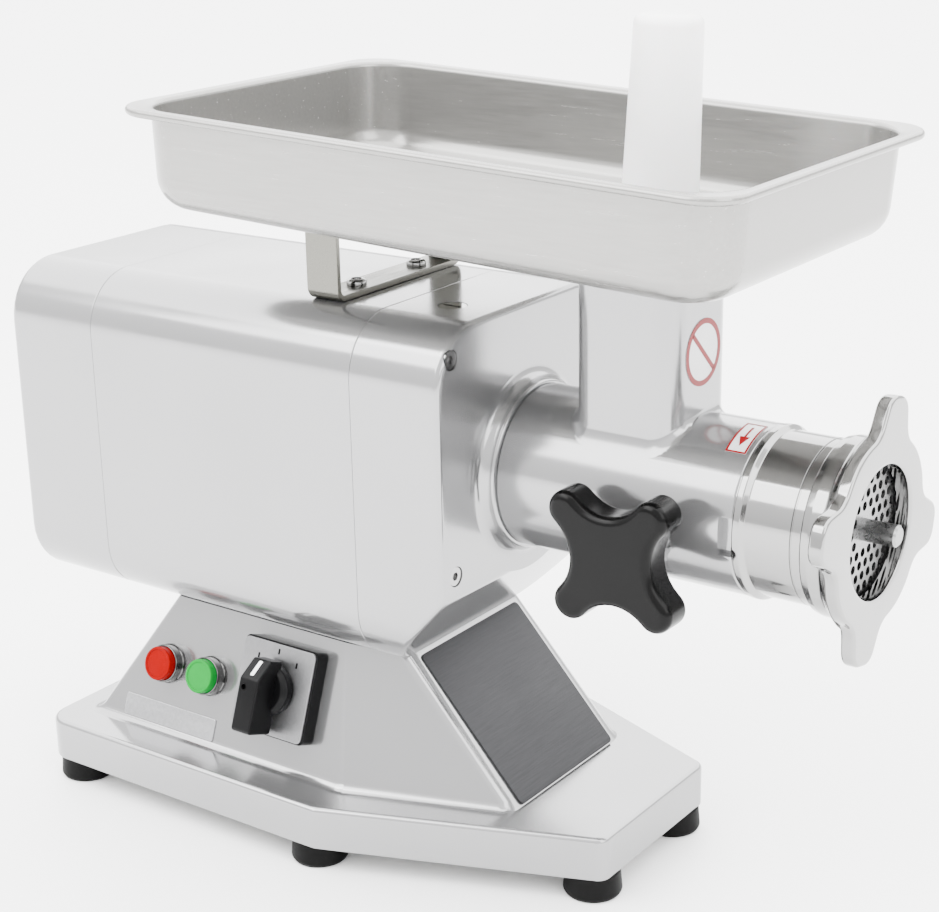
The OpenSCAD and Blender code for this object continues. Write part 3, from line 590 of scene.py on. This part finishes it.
def make_base():
    outline = rounded(BASE_POINTS, [14 * MM, 10 * MM, 7 * MM, 7 * MM, 10 * MM, 14 * MM], 8)
    wall = 4.5 * MM
    stations = [(BASE_Z1 - wall, wall), (BASE_Z0, wall)] + rims(BASE_Z0, BASE_Z1, 0.8 * MM, 2.6 * MM, 4)
    add_object("base_skin", to_mesh(prism_bm(outline, stations, along_z), "base"), CAST, "frame",
               ["base_plate"])


def pedestal_ring(t, spread, z):
    """Ring of the pedestal at share t of its height, grown outwards by spread except in front."""
    points = [(a[0] + (b[0] - a[0]) * t, a[1] + (b[1] - a[1]) * t)
              for a, b in zip(PEDESTAL_FOOT, PEDESTAL_TOP)]
    points = [(x * MM, y * MM) for x, y in points]
    outline = rounded(points, [r * MM for r in PEDESTAL_R], 8)
    ring = []
    for plain, grown in zip(outline(0), outline(-spread)):
        share = 1 if spread < 0 else min(1, max(0, (points[2][0] - plain.x) / (10 * MM)))
        p = plain + (grown - plain) * share
        ring.append(Vector((p.x, p.y, z)))
    return ring


def make_pedestal():
    flare = 4 * MM
    steps = 5
    height = HOUSING_Z0 - BASE_Z1
    rings = []
    for k in range(steps + 1):
        a = math.pi / 2 * k / steps
        lift = flare * (1 - math.cos(a))
        rings.append(pedestal_ring(lift / height, flare * (1 - math.sin(a)), BASE_Z1 + lift))
    wall = 4 * MM
    rings.append(pedestal_ring(1, 0, HOUSING_Z0 + 0.5 * MM))
    rings.append(pedestal_ring(1, -wall, HOUSING_Z0 + 0.5 * MM))
    rings.append(pedestal_ring(0, -wall, BASE_Z1))
    add_object("pedestal_skin", to_mesh(loft_mesh(rings, closed=True), "pedestal"), CAST, "frame",
               ["pedestal"])


def make_slope_plate():
    """Dark brushed plate that covers the pedestal's front slope."""
    bottom = Vector((PEDESTAL_FOOT[2][0] * MM, 0, BASE_Z1))
    top = Vector((PEDESTAL_TOP[2][0] * MM, 0, HOUSING_Z0))
    up = (top - bottom).normalized()
    out = Vector((up.z, 0, -up.x))
    length = (top - bottom).length

    def place(u, v, h):
        return bottom + up * v + Vector((0, 1, 0)) * u + out * h
    plate = rounded(rect(42 * MM, length / 2 - 1.6 * MM, (0, length / 2 - 1 * MM)), 2.5 * MM, 4)
    bm = prism_bm(plate, rims(0, 1.2 * MM, 0, 0.4 * MM, 2), place)
    add_object("slope_plate_skin", to_mesh(bm, "slope"), SLOPE_STEEL, "frame", ["slope_plate"])


def make_feet():
    foot_r = 14.5 * MM
    lo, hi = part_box("rubber_feet")
    rear = (lo.x + foot_r, hi.y - foot_r)
    feet = [(x, side * y) for side in (-1, 1)
            for x, y in (rear, (-27 * MM, rear[1]), (hi.x - foot_r, 38 * MM))]
    profile = fillet([(0, 4 * MM), (6 * MM, 4 * MM), (6 * MM, 0), (13.4 * MM, 0), (foot_r, 2 * MM),
                      (13.6 * MM, BASE_Z0), (0, BASE_Z0)],
                     [0, 0.5 * MM, 0.6 * MM, 1.2 * MM, 1.5 * MM, 0.8 * MM, 0], False, 3)
    parts = [lathe_bm([(p.x, p.y) for p in profile], z_place(x, y), 48) for x, y in feet]
    add_object("feet_skin", to_mesh(join(parts), "feet"), RUBBER, "frame", ["rubber_feet"])


# ---- grinding head ----

def make_head():
    notch = Vector((BARREL_X1, -BARREL_R, AXIS_Z - 1 * MM))
    profile = [(0, HEAD_X0), (BARREL_R - 0.8 * MM, HEAD_X0), (BARREL_R, HEAD_X0 + 0.8 * MM),
               (BARREL_R, BARREL_X1 - 0.9 * MM), (BARREL_R - 0.6 * MM, BARREL_X1), (0, BARREL_X1)]
    barrel = lathe_bm(profile, x_place(), 128)
    outline = rounded(rect(NECK_HW, NECK_HW, (NECK_X, 0)), NECK_R, 10)
    fillet_r = 5 * MM
    rings = [[Vector((p.x, p.y, AXIS_Z + 8 * MM)) for p in outline(0)]]
    steps = 7
    for k in range(steps + 1):
        a = math.pi / 2 * k / steps
        ring = []
        for p in outline(-fillet_r * (1 - math.sin(a))):
            surface = AXIS_Z + math.sqrt(BARREL_R ** 2 - p.y ** 2)
            ring.append(Vector((p.x, p.y, surface + fillet_r * (1 - math.cos(a)) - 0.2 * MM)))
        rings.append(ring)
    for drop, inset in ((7.2 * MM, 0), (6 * MM, 1.2 * MM), (6 * MM, 2 * MM), (0.6 * MM, 2 * MM),
                        (0, 2.6 * MM)):
        rings.append([Vector((p.x, p.y, NECK_TOP - drop)) for p in outline(inset)])
    head = carve(barrel, [loft_mesh(rings)], "UNION")
    throat = prism_bm(lambda inset: outline(4 * MM), [(AXIS_Z, 0), (NECK_TOP + 5 * MM, 0)], along_z)
    bore = lathe_bm([(0, HEAD_X0 + 10 * MM), (HEAD_BORE_R, HEAD_X0 + 10 * MM),
                     (HEAD_BORE_R, BARREL_X1 + 5 * MM), (0, BARREL_X1 + 5 * MM)], x_place(), 96)
    slot = prism_bm(lambda inset: [Vector(p) for p in rect(5 * MM, 9 * MM, (notch.y, notch.z))],
                    [(notch.x - 6 * MM, 0), (notch.x + 2 * MM, 0)], along_x)
    shaft_hole_r = 19 * MM
    shaft_hole = lathe_bm([(0, HEAD_X0 - 5 * MM), (shaft_hole_r, HEAD_X0 - 5 * MM),
                           (shaft_hole_r, HEAD_X0 + 12 * MM), (0, HEAD_X0 + 12 * MM)], x_place(), 64)
    head = carve(head, [throat, bore, shaft_hole, slot])
    add_object("head_skin", to_mesh(head, "head"), CAST, "frame", ["grinding_head"], 40)


def turned(name, profile, radii, place, material, body, node, steps=96, closed=True, sharp=35, count=4):
    """Turned piece with rounded corners that stands for a CAD node."""
    points = [(p.x, p.y) for p in fillet(profile, radii, closed, count)]
    add_object(name, to_mesh(lathe_bm(points, place, steps), name), material, body, [node], sharp)


def make_head_ring():
    r = BARREL_R
    x = BARREL_X1
    ring_r = 37.8 * MM
    groove_r = 37.3 * MM
    seat_r = 35.1 * MM
    turned("head_ring_skin",
           [(HEAD_BORE_R, x + 0.1 * MM), (r - 0.7 * MM, x + 0.1 * MM), (r - 0.7 * MM, x + 0.7 * MM),
            (r + 0.5 * MM, x + 0.9 * MM), (r + 0.5 * MM, x + 4 * MM), (ring_r, x + 6 * MM),
            (ring_r, 202.4 * MM), (groove_r, 202.7 * MM), (groove_r, 203.1 * MM), (ring_r, 203.4 * MM),
            (ring_r, 219 * MM), (seat_r, 219 * MM), (seat_r, 211.4 * MM), (HEAD_BORE_R, 211.4 * MM)],
           [0, 0, 0, 0.7 * MM, 1.2 * MM, 1 * MM, 0.2 * MM, 0, 0, 0.2 * MM, 0.4 * MM, 0.4 * MM, 0, 0],
           x_place(), STEEL, "frame", "head_ring", 128)


# Turns of the lobes at rest, as in the photo
NUT_TURN = math.radians(-13)
KNOB_TURN = math.radians(48.5)


def make_ring_nut():
    face = 7 * MM
    valley = [((42 * MM, 14.5 * MM), 12 * MM), ((33.5 * MM, 33.5 * MM), 34 * MM),
              ((14.5 * MM, 42 * MM), 12 * MM)]
    outline = evenly(lobes(60 * MM, 8.8 * MM, valley, NUT_TURN, 8), 240)
    outer = smooth_outline(outline)
    hole_r = 30 * MM

    def hole(radius, x):
        start = math.atan2(outline[0].y, outline[0].x)
        angles = [start + 2 * math.pi * k / len(outline) for k in range(len(outline))]
        return [Vector((x, radius * math.cos(a), AXIS_Z + radius * math.sin(a))) for a in angles]
    rings = []
    for h, inset in rims(NUT_X1 - face, NUT_X1, 1.6 * MM, 1.6 * MM, 4):
        rings.append([Vector((h, p.x, AXIS_Z + p.y)) for p in outer(inset)])
    rings += [hole(hole_r + 2.2 * MM, NUT_X1), hole(hole_r + 0.4 * MM, NUT_X1 - 0.7 * MM),
              hole(hole_r, NUT_X1 - 2 * MM), hole(hole_r, NUT_X1 - face)]
    bm = loft_mesh(rings, closed=True)
    thread_r = 38.1 * MM
    body_r = 40.8 * MM
    body_profile = fillet([(thread_r, NUT_X0), (40 * MM, NUT_X0), (body_r, NUT_X0 + 4 * MM),
                           (body_r, NUT_X1 - face - 3 * MM), (45 * MM, NUT_X1 - face + 1 * MM),
                           (thread_r, NUT_X1 - face + 1 * MM)],
                          [0.5 * MM, 1.2 * MM, 2 * MM, 3 * MM, 0, 0], True, 4)
    body = lathe_bm([(p.x, p.y) for p in body_profile], x_place(), 128)
    add_object("ring_nut_skin", to_mesh(join([bm, body]), "ring_nut"), STEEL, "nut", ["ring_nut"])


def make_pusher():
    lean = Matrix.Rotation(PUSHER_LEAN, 3, "Y")

    def place(u, v, h):
        return PUSHER_FOOT + lean @ Vector((u, v, h))
    turned("pusher_skin", [(0, 0), (20.5 * MM, 0), (20.5 * MM, 9 * MM), (19.5 * MM, 12 * MM),
                           (15.2 * MM, PUSHER_L), (0, PUSHER_L)],
           [0, 1.5 * MM, 1.2 * MM, 2 * MM, 4.5 * MM, 0], place, WHITE_PLASTIC, "pusher", "pusher",
           96, False, 35, 6)


# ---- clamp knob ----

def make_knob():
    lobe_hw = 8.5 * MM
    star = lobes(39 * MM, lobe_hw, [((lobe_hw, lobe_hw), 21 * MM)], KNOB_TURN, 10)
    outline = smooth_outline(star)

    def place(u, v, h):
        return Vector((KNOB.x + u, KNOB_FACE_Y + h, KNOB.z + v))
    thick = 17 * MM
    blank = prism_bm(outline, rims(0, thick, 4.2 * MM, 2.4 * MM, 7), place)
    hub_r = 14 * MM
    hub_h = 24.7 * MM
    hub = lathe_bm([(0, thick - 1 * MM), (hub_r, thick - 1 * MM), (hub_r, 24 * MM),
                    (13.2 * MM, hub_h), (0, hub_h)], place, 64)
    add_object("clamp_knob_skin", to_mesh(join([blank, hub]), "clamp_knob"), BLACK_GLOSS, "knob",
               ["clamp_knob"])


def make_clamp_boss():
    def place(u, v, h):
        return Vector((KNOB.x + u, -h, KNOB.z + v))
    hole_r, outer_r = 5.1 * MM, 13 * MM
    inner_y, outer_y = 30 * MM, 43 * MM
    points = fillet([(hole_r, inner_y), (outer_r, inner_y), (outer_r, outer_y), (hole_r, outer_y)],
                    [0, 0, 1.5 * MM, 0.6 * MM], True, 4)
    bm = lathe_bm([(p.x, p.y) for p in points], place, 64)
    add_object("clamp_boss_skin", to_mesh(bm, "clamp_boss"), CAST, "frame", ["clamp_boss"])


# ---- tray and its bracket ----

def make_tray():
    turn = Matrix.Rotation(TRAY_TILT, 3, "Y")
    bead = 2 * MM
    wall_d = 7.4 * MM
    z_floor = 1.4 * MM - TRAY_DEPTH
    curl = [Vector((bead - bead * math.cos(a), bead * math.sin(a) - bead))
            for a in (math.radians(-80 + 17 * k) for k in range(11))]
    path = curl + fillet([(bead, 0), (wall_d, -0.3 * MM), (wall_d + 2.4 * MM, z_floor), (45 * MM, z_floor)],
                         [0, 2.6 * MM, 14 * MM, 0], False, 7)[1:]

    def ring(d, z):
        share = min(1, max(0, (d - bead) / (wall_d - 1 * MM - bead)))
        radius = TRAY_RIM_R - d + share * (TRAY_PAN_R + 6 * MM - TRAY_RIM_R)
        corners = rounded(rect(TRAY_HALF[0] - d, TRAY_HALF[1] - d), max(radius, 5 * MM), 12)(0)
        return [TRAY_MID + turn @ Vector((p.x, p.y, z)) for p in corners]
    rings = [ring(d, z) for d, z in path]
    hole = rounded(rect(25.6 * MM, 25.6 * MM, (NECK_X - TRAY_MID.x + 2 * MM, 0)), 10.5 * MM, 12)(0)
    rings.append([TRAY_MID + turn @ Vector((p.x, p.y, z_floor)) for p in hole])
    bm = loft_mesh(rings, caps=(False, False))
    up = sum((f.normal.z * f.calc_area() for f in bm.faces), 0.0)
    if up < 0:
        bmesh.ops.reverse_faces(bm, faces=list(bm.faces))
    obj = add_object("tray_skin", to_mesh(bm, "tray"), TRAY_STEEL, "tray", ["tray"], 40, False)
    sheet = obj.modifiers.new("sheet", "SOLIDIFY")
    sheet.thickness = 1.3 * MM
    sheet.offset = -1
    normals = obj.modifiers.new("normals", "WEIGHTED_NORMAL")
    normals.keep_sharp = True


def make_bracket():
    lo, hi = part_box("tray_bracket")
    t = 3 * MM
    half = t / 2
    corners = [(lo.y + half, hi.z), (lo.y + half, lo.z + half),
               (hi.y - half, lo.z + half), (hi.y - half, hi.z)]
    path = fillet(corners, [0, 4.5 * MM, 4.5 * MM, 0], False, 8)
    section = rounded(rect((hi.x - lo.x) / 2, half, (middle("tray_bracket").x, 0)), 0.6 * MM, 3)(0)
    rings = []
    for k, p in enumerate(path):
        along = (path[min(k + 1, len(path) - 1)] - path[max(k - 1, 0)]).normalized()
        rings.append([Vector((q.x, p.x - along.y * q.y, p.y + along.x * q.y)) for q in section])
    add_object("tray_bracket_skin", to_mesh(loft_mesh(rings), "bracket"), STRIP_STEEL, "frame",
               ["tray_bracket"])
    top = lo.z + t
    bolts = []
    for side in (-1, 1):
        points = fillet([(0, top), (5 * MM, top), (5 * MM, top + 2.6 * MM), (2.6 * MM, top + 3.2 * MM),
                         (2.4 * MM, top + 1.4 * MM), (0, top + 1.4 * MM)],
                        [0, 0.2 * MM, 1.6 * MM, 0.2 * MM, 0.1 * MM, 0], False, 4)
        place = z_place(middle("tray_bracket").x, side * 24 * MM)
        bolts.append(lathe_bm([(p.x, p.y) for p in points], place, 40))
    add_object("bracket_bolts_skin", to_mesh(join(bolts), "bolts"), CHROME, "frame", ["bracket_bolts"])


# ---- controls ----

def on_panel_at(node):
    """Point of the panel under the middle of a node."""
    offset = middle(node) - SELECTOR
    return SELECTOR + offset - PANEL_N * offset.dot(PANEL_N)


def make_buttons():
    hole_r, tube_r, rim_r = 9.2 * MM, 10 * MM, 10.6 * MM
    stem_r, cap_r = 7 * MM, 8.9 * MM
    for color, lens in (("red", RED_LENS), ("green", GREEN_LENS)):
        place = panel_frame(on_panel_at(f"{color}_button"))
        profile = [(hole_r, -10 * MM), (tube_r, -10 * MM), (tube_r, 0), (rim_r, 0.1 * MM),
                   (rim_r, 1.6 * MM), (tube_r, 2.2 * MM), (tube_r, 7 * MM), (hole_r, 7 * MM)]
        turned(f"{color}_bezel_skin", profile,
               [0, 0, 0, 0.2 * MM, 0.5 * MM, 0.2 * MM, 0.6 * MM, 0.15 * MM], place, DARK_CHROME,
               "frame", f"{color}_bezel", 72)
        profile = [(0, -14 * MM), (stem_r, -14 * MM), (stem_r, -3 * MM), (cap_r, -3 * MM),
                   (cap_r, 11.2 * MM), (7.5 * MM, 11.3 * MM), (7.2 * MM, 10.7 * MM),
                   (4 * MM, 10.9 * MM), (0, 11 * MM)]
        turned(f"{color}_button_skin", profile, [0, 0, 0, 0, 0.8 * MM, 0.3 * MM, 0.2 * MM, 0, 0], place,
               lens, f"{color}_push", f"{color}_button", 72, False)


def slab(name, place, half_w, half_h, radius, h0, h1, edge, material, body, node=None, centre=(0, 0)):
    outline = rounded(rect(half_w, half_h, centre), radius, 5)
    add_object(name, to_mesh(prism_bm(outline, rims(h0, h1, 0, edge, 3), place), name), material, body,
               [node] if node else ())


def make_switch():
    place = panel_frame(SELECTOR)
    plate_h = 10 * MM
    mark_r = 19.5 * MM
    dome_r = 13.3 * MM
    # Crown of the bar and the place where its ramp starts
    bar_h = 30 * MM
    ramp_v = 5.5 * MM
    slab("switch_frame_skin", place, 24 * MM, 24 * MM, 3 * MM, 0, 9 * MM, 0.8 * MM, BLACK_SATIN, "frame",
         "switch_frame")
    slab("switch_plate_skin", place, 23.2 * MM, 23.2 * MM, 2.6 * MM, 9 * MM, plate_h, 0.3 * MM,
         FACE_STEEL, "frame", "switch_plate")
    for k, angle in enumerate((-40, 0, 40)):
        a = math.radians(90 - angle)
        x, y = mark_r * math.cos(a), mark_r * math.sin(a)
        slab(f"switch_mark_{k}", place, 0.5 * MM, 1.5 * MM, 0.3 * MM, plate_h, 10.15 * MM, 0,
             BLACK_SATIN, "frame", None, (x, y))
    dome = fillet([(0, 10.4 * MM), (dome_r, 10.4 * MM), (dome_r, 14.4 * MM), (11 * MM, 16.6 * MM),
                   (0, 17 * MM)],
                  [0, 0.4 * MM, 1.2 * MM, 2 * MM, 0], False, 4)
    base = lathe_bm([(p.x, p.y) for p in dome], place, 72)
    side = smooth_outline(fillet([(-22 * MM, 13 * MM), (15.5 * MM, 13 * MM), (15.5 * MM, 22 * MM),
                                  (ramp_v, bar_h), (-22 * MM, bar_h)],
                                 [1 * MM, 1 * MM, 1.6 * MM, 3 * MM, 2 * MM], True, 5))
    bar = prism_bm(side, rims(-6 * MM, 6 * MM, 0.9 * MM, 0.9 * MM, 3), lambda v, h, u: place(u, v, h))
    eye = lathe_bm([(0, 28 * MM), (1.5 * MM, 28 * MM), (1.5 * MM, 31 * MM), (0, 31 * MM)],
                   lambda u, v, h: place(u - 2.5 * MM, v + 1 * MM, h), 24)
    bm = join([base, carve(bar, [eye])])
    add_object("switch_knob_skin", to_mesh(bm, "switch_knob"), BLACK_SATIN, "selector",
               ["switch_knob"])
    fall = Vector((15.5 - 5.5, 22 - 30)).normalized()

    def on_ramp(u, v, h):
        return place(u, ramp_v + fall.x * v - fall.y * h, bar_h + fall.y * v + fall.x * h)
    slab("switch_pointer", on_ramp, 1.1 * MM, 4.6 * MM, 0.5 * MM, -0.1 * MM, 0.12 * MM, 0,
         WHITE_MARK, "selector", None, (0, 7 * MM))


def make_badge():
    place = panel_frame(on_panel_at("badge"))
    slab("badge_skin", place, 32 * MM, 6 * MM, 1 * MM, 0, 0.8 * MM, 0.3 * MM, BADGE_STEEL, "frame", "badge")


# ---- generic marks ----

def flat_ring(outer, inner, place, h0, h1, steps=72):
    return lathe_bm([(inner, h0), (outer, h0), (outer, h1), (inner, h1)], place, steps)


def make_neck_sign():
    """Plain prohibition ring with a slash on the front face of the neck."""
    face_x = NECK_X + NECK_HW
    centre_z = 266 * MM

    def place(u, v, h):
        return Vector((face_x + h, u, centre_z + v))
    sign_r = 15.5 * MM
    disc = lathe_bm([(0, 0), (sign_r, 0), (sign_r, 0.15 * MM), (0, 0.15 * MM)], place, 72)
    add_object("neck_sign_disc", to_mesh(disc, "disc"), LABEL_WHITE, "frame")
    ring = flat_ring(sign_r, 13 * MM, place, 0.1 * MM, 0.3 * MM)
    turn = Matrix.Rotation(math.radians(-45), 2)
    bar = [turn @ Vector(p) for p in rect(13.5 * MM, 1.1 * MM)]
    slash = prism_bm(lambda inset: bar, [(0.1 * MM, 0), (0.3 * MM, 0)], place)
    add_object("neck_sign_ring", to_mesh(join([ring, slash]), "ring"), RED_INK, "frame")


def make_arrow_label():
    """Rotation arrow in a frame, wrapped on the upper front of the barrel."""
    x0 = BARREL_X1 - 12.2 * MM

    def place(u, v, h):
        a = v / BARREL_R
        r = BARREL_R + h
        return Vector((x0 + u, -r * math.sin(a), AXIS_Z + r * math.cos(a)))

    def patch(u0, u1, v0, v1, h, material_parts):
        steps = max(2, int(abs(v1 - v0) / (2 * MM)))
        rings = []
        for k in range(steps + 1):
            v = v0 + (v1 - v0) * k / steps
            rings.append([place(u0, v, h - 0.1 * MM), place(u1, v, h - 0.1 * MM),
                          place(u1, v, h), place(u0, v, h)])
        material_parts.append(loft_mesh(rings))
    red, white = [], []
    patch(0, 10 * MM, 2 * MM, 24 * MM, 0.15 * MM, white)
    for u0, u1, v0, v1 in ((0, 0.9, 2, 24), (9.1, 10, 2, 24), (0, 10, 2, 2.9), (0, 10, 23.1, 24),
                           (4.5, 5.5, 6, 15)):
        patch(u0 * MM, u1 * MM, v0 * MM, v1 * MM, 0.3 * MM, red)
    head = [(2.6 * MM, 14 * MM), (7.4 * MM, 14 * MM), (5 * MM, 20 * MM)]
    red.append(loft_mesh([[place(u, v, h) for u, v in head] for h in (0.1 * MM, 0.35 * MM)]))
    add_object("arrow_label_sheet", to_mesh(join(white), "sheet"), LABEL_WHITE, "frame")
    add_object("arrow_label_print", to_mesh(join(red), "print"), RED_INK, "frame")


# ---- CAD nodes that stay, each with its own finish ----

KEPT = {
    CHROME: ["oil_plug", "cover_screws", "foot_screws", "clamp_stud", "switch_spindle", "motor_bearings",
             "intermediate_bearings", "output_bearing"],
    PLATE_STEEL: ["grinding_plate", "knife", "auger", "output_shaft", "motor_shaft", "intermediate_shaft"],
    DARK_STEEL: ["motor_pinion", "intermediate_gear", "intermediate_pinion", "output_gear"],
    CAST_ROUGH: ["rear_shield", "gear_bulkhead", "motor_tube", "capacitor"],
    LAMINATE: ["stator", "rotor"],
    COPPER: ["windings"],
    TRAY_STEEL: ["bottom_cover"],
    BLACK_SATIN: ["cooling_fan", "button_contacts", "switch_body", "cable_gland"],
    RUBBER: ["oil_seal"],
    PALE_PLASTIC: ["terminal_block"],
}


def finish_kept_nodes():
    for material, names in KEPT.items():
        for name in names:
            mesh = NODES[name].data
            mesh.materials.clear()
            mesh.materials.append(material)


# ---- stage ----

# Wide enough that its edge is never in the picture, metres
FLOOR_HALF = 30.0


def make_stage():
    bm = bmesh.new()
    bmesh.ops.create_grid(bm, x_segments=1, y_segments=1, size=FLOOR_HALF)
    floor = bpy.data.objects.new("floor", to_mesh(bm, "floor"))
    bpy.context.scene.collection.objects.link(floor)
    look = Look("floor_paint", (0.86, 0.86, 0.86), 0.0, 0.55)
    look.to("Base Color", look.blend(look.noise(3, 2), (0.93, 0.93, 0.93), (0.95, 0.95, 0.95)))
    floor.data.materials.append(look.material)


def area_light(name, location, target, size, power):
    light = bpy.data.lights.new(name, "AREA")
    light.shape = "RECTANGLE"
    light.size, light.size_y = size
    light.energy = power
    obj = bpy.data.objects.new(name, light)
    bpy.context.scene.collection.objects.link(obj)
    obj.location = location
    direction = Vector(target) - Vector(location)
    obj.rotation_euler = direction.to_track_quat("-Z", "Y").to_euler()


def make_lights():
    world = bpy.data.worlds.new("studio")
    bpy.context.scene.world = world
    world.use_nodes = True
    tree = world.node_tree
    background = tree.nodes["Background"]
    coords = tree.nodes.new("ShaderNodeTexCoord")
    split = tree.nodes.new("ShaderNodeSeparateXYZ")
    ramp = tree.nodes.new("ShaderNodeValToRGB")
    steps = ((0.0, 0.8), (0.15, 0.9), (0.5, 1.1), (1.0, 1.15))
    for k, (position, value) in enumerate(steps):
        element = ramp.color_ramp.elements[k] if k < 2 else ramp.color_ramp.elements.new(position)
        element.position = position
        element.color = (value, value, value, 1)
    tree.links.new(coords.outputs["Generated"], split.inputs["Vector"])
    tree.links.new(split.outputs["Z"], ramp.inputs["Fac"])
    tree.links.new(ramp.outputs["Color"], background.inputs["Color"])
    background.inputs["Strength"].default_value = 3.2
    area_light("key", (-1.0, -1.7, 2.1), (0, 0, 0.15), (2.0, 1.5), 95)
    area_light("side", (1.9, -0.5, 1.4), (0.1, 0, 0.2), (1.2, 1.4), 32)
    sun = bpy.data.lights.new("sky_panel", "SUN")
    sun.angle = math.radians(110)
    sun.energy = 11.0
    panel = bpy.data.objects.new("sky_panel", sun)
    bpy.context.scene.collection.objects.link(panel)
    panel.rotation_euler = (math.radians(-22), math.radians(-12), 0)


def make_camera():
    yaw, pitch, roll = math.radians(36.5), math.radians(19.1), math.radians(-1.4)
    back = Vector((math.sin(yaw) * math.cos(pitch), -math.cos(yaw) * math.cos(pitch), math.sin(pitch)))
    right = Vector((math.cos(yaw), math.sin(yaw), 0))
    up = back.cross(right)
    x_axis = right * math.cos(roll) + up * math.sin(roll)
    y_axis = up * math.cos(roll) - right * math.sin(roll)
    data = bpy.data.cameras.new("camera")
    data.sensor_width = 36
    data.lens = 76.28
    data.shift_x = 0.0217
    data.shift_y = 0.0239
    camera = bpy.data.objects.new("camera", data)
    bpy.context.scene.collection.objects.link(camera)
    camera.matrix_world = Matrix.Translation((0.5563, -0.7576, 0.5061)) @ Matrix(
        (x_axis, y_axis, back)).transposed().to_4x4()
    bpy.context.scene.camera = camera


make_body_shell()
make_rear_cover()
make_front_cover()
make_base()
make_pedestal()
make_slope_plate()
make_feet()
make_head()
make_head_ring()
make_ring_nut()
make_pusher()
make_knob()
make_clamp_boss()
make_tray()
make_bracket()
make_buttons()
make_switch()
make_badge()
make_neck_sign()
make_arrow_label()
finish_kept_nodes()
make_stage()
make_lights()
make_camera()
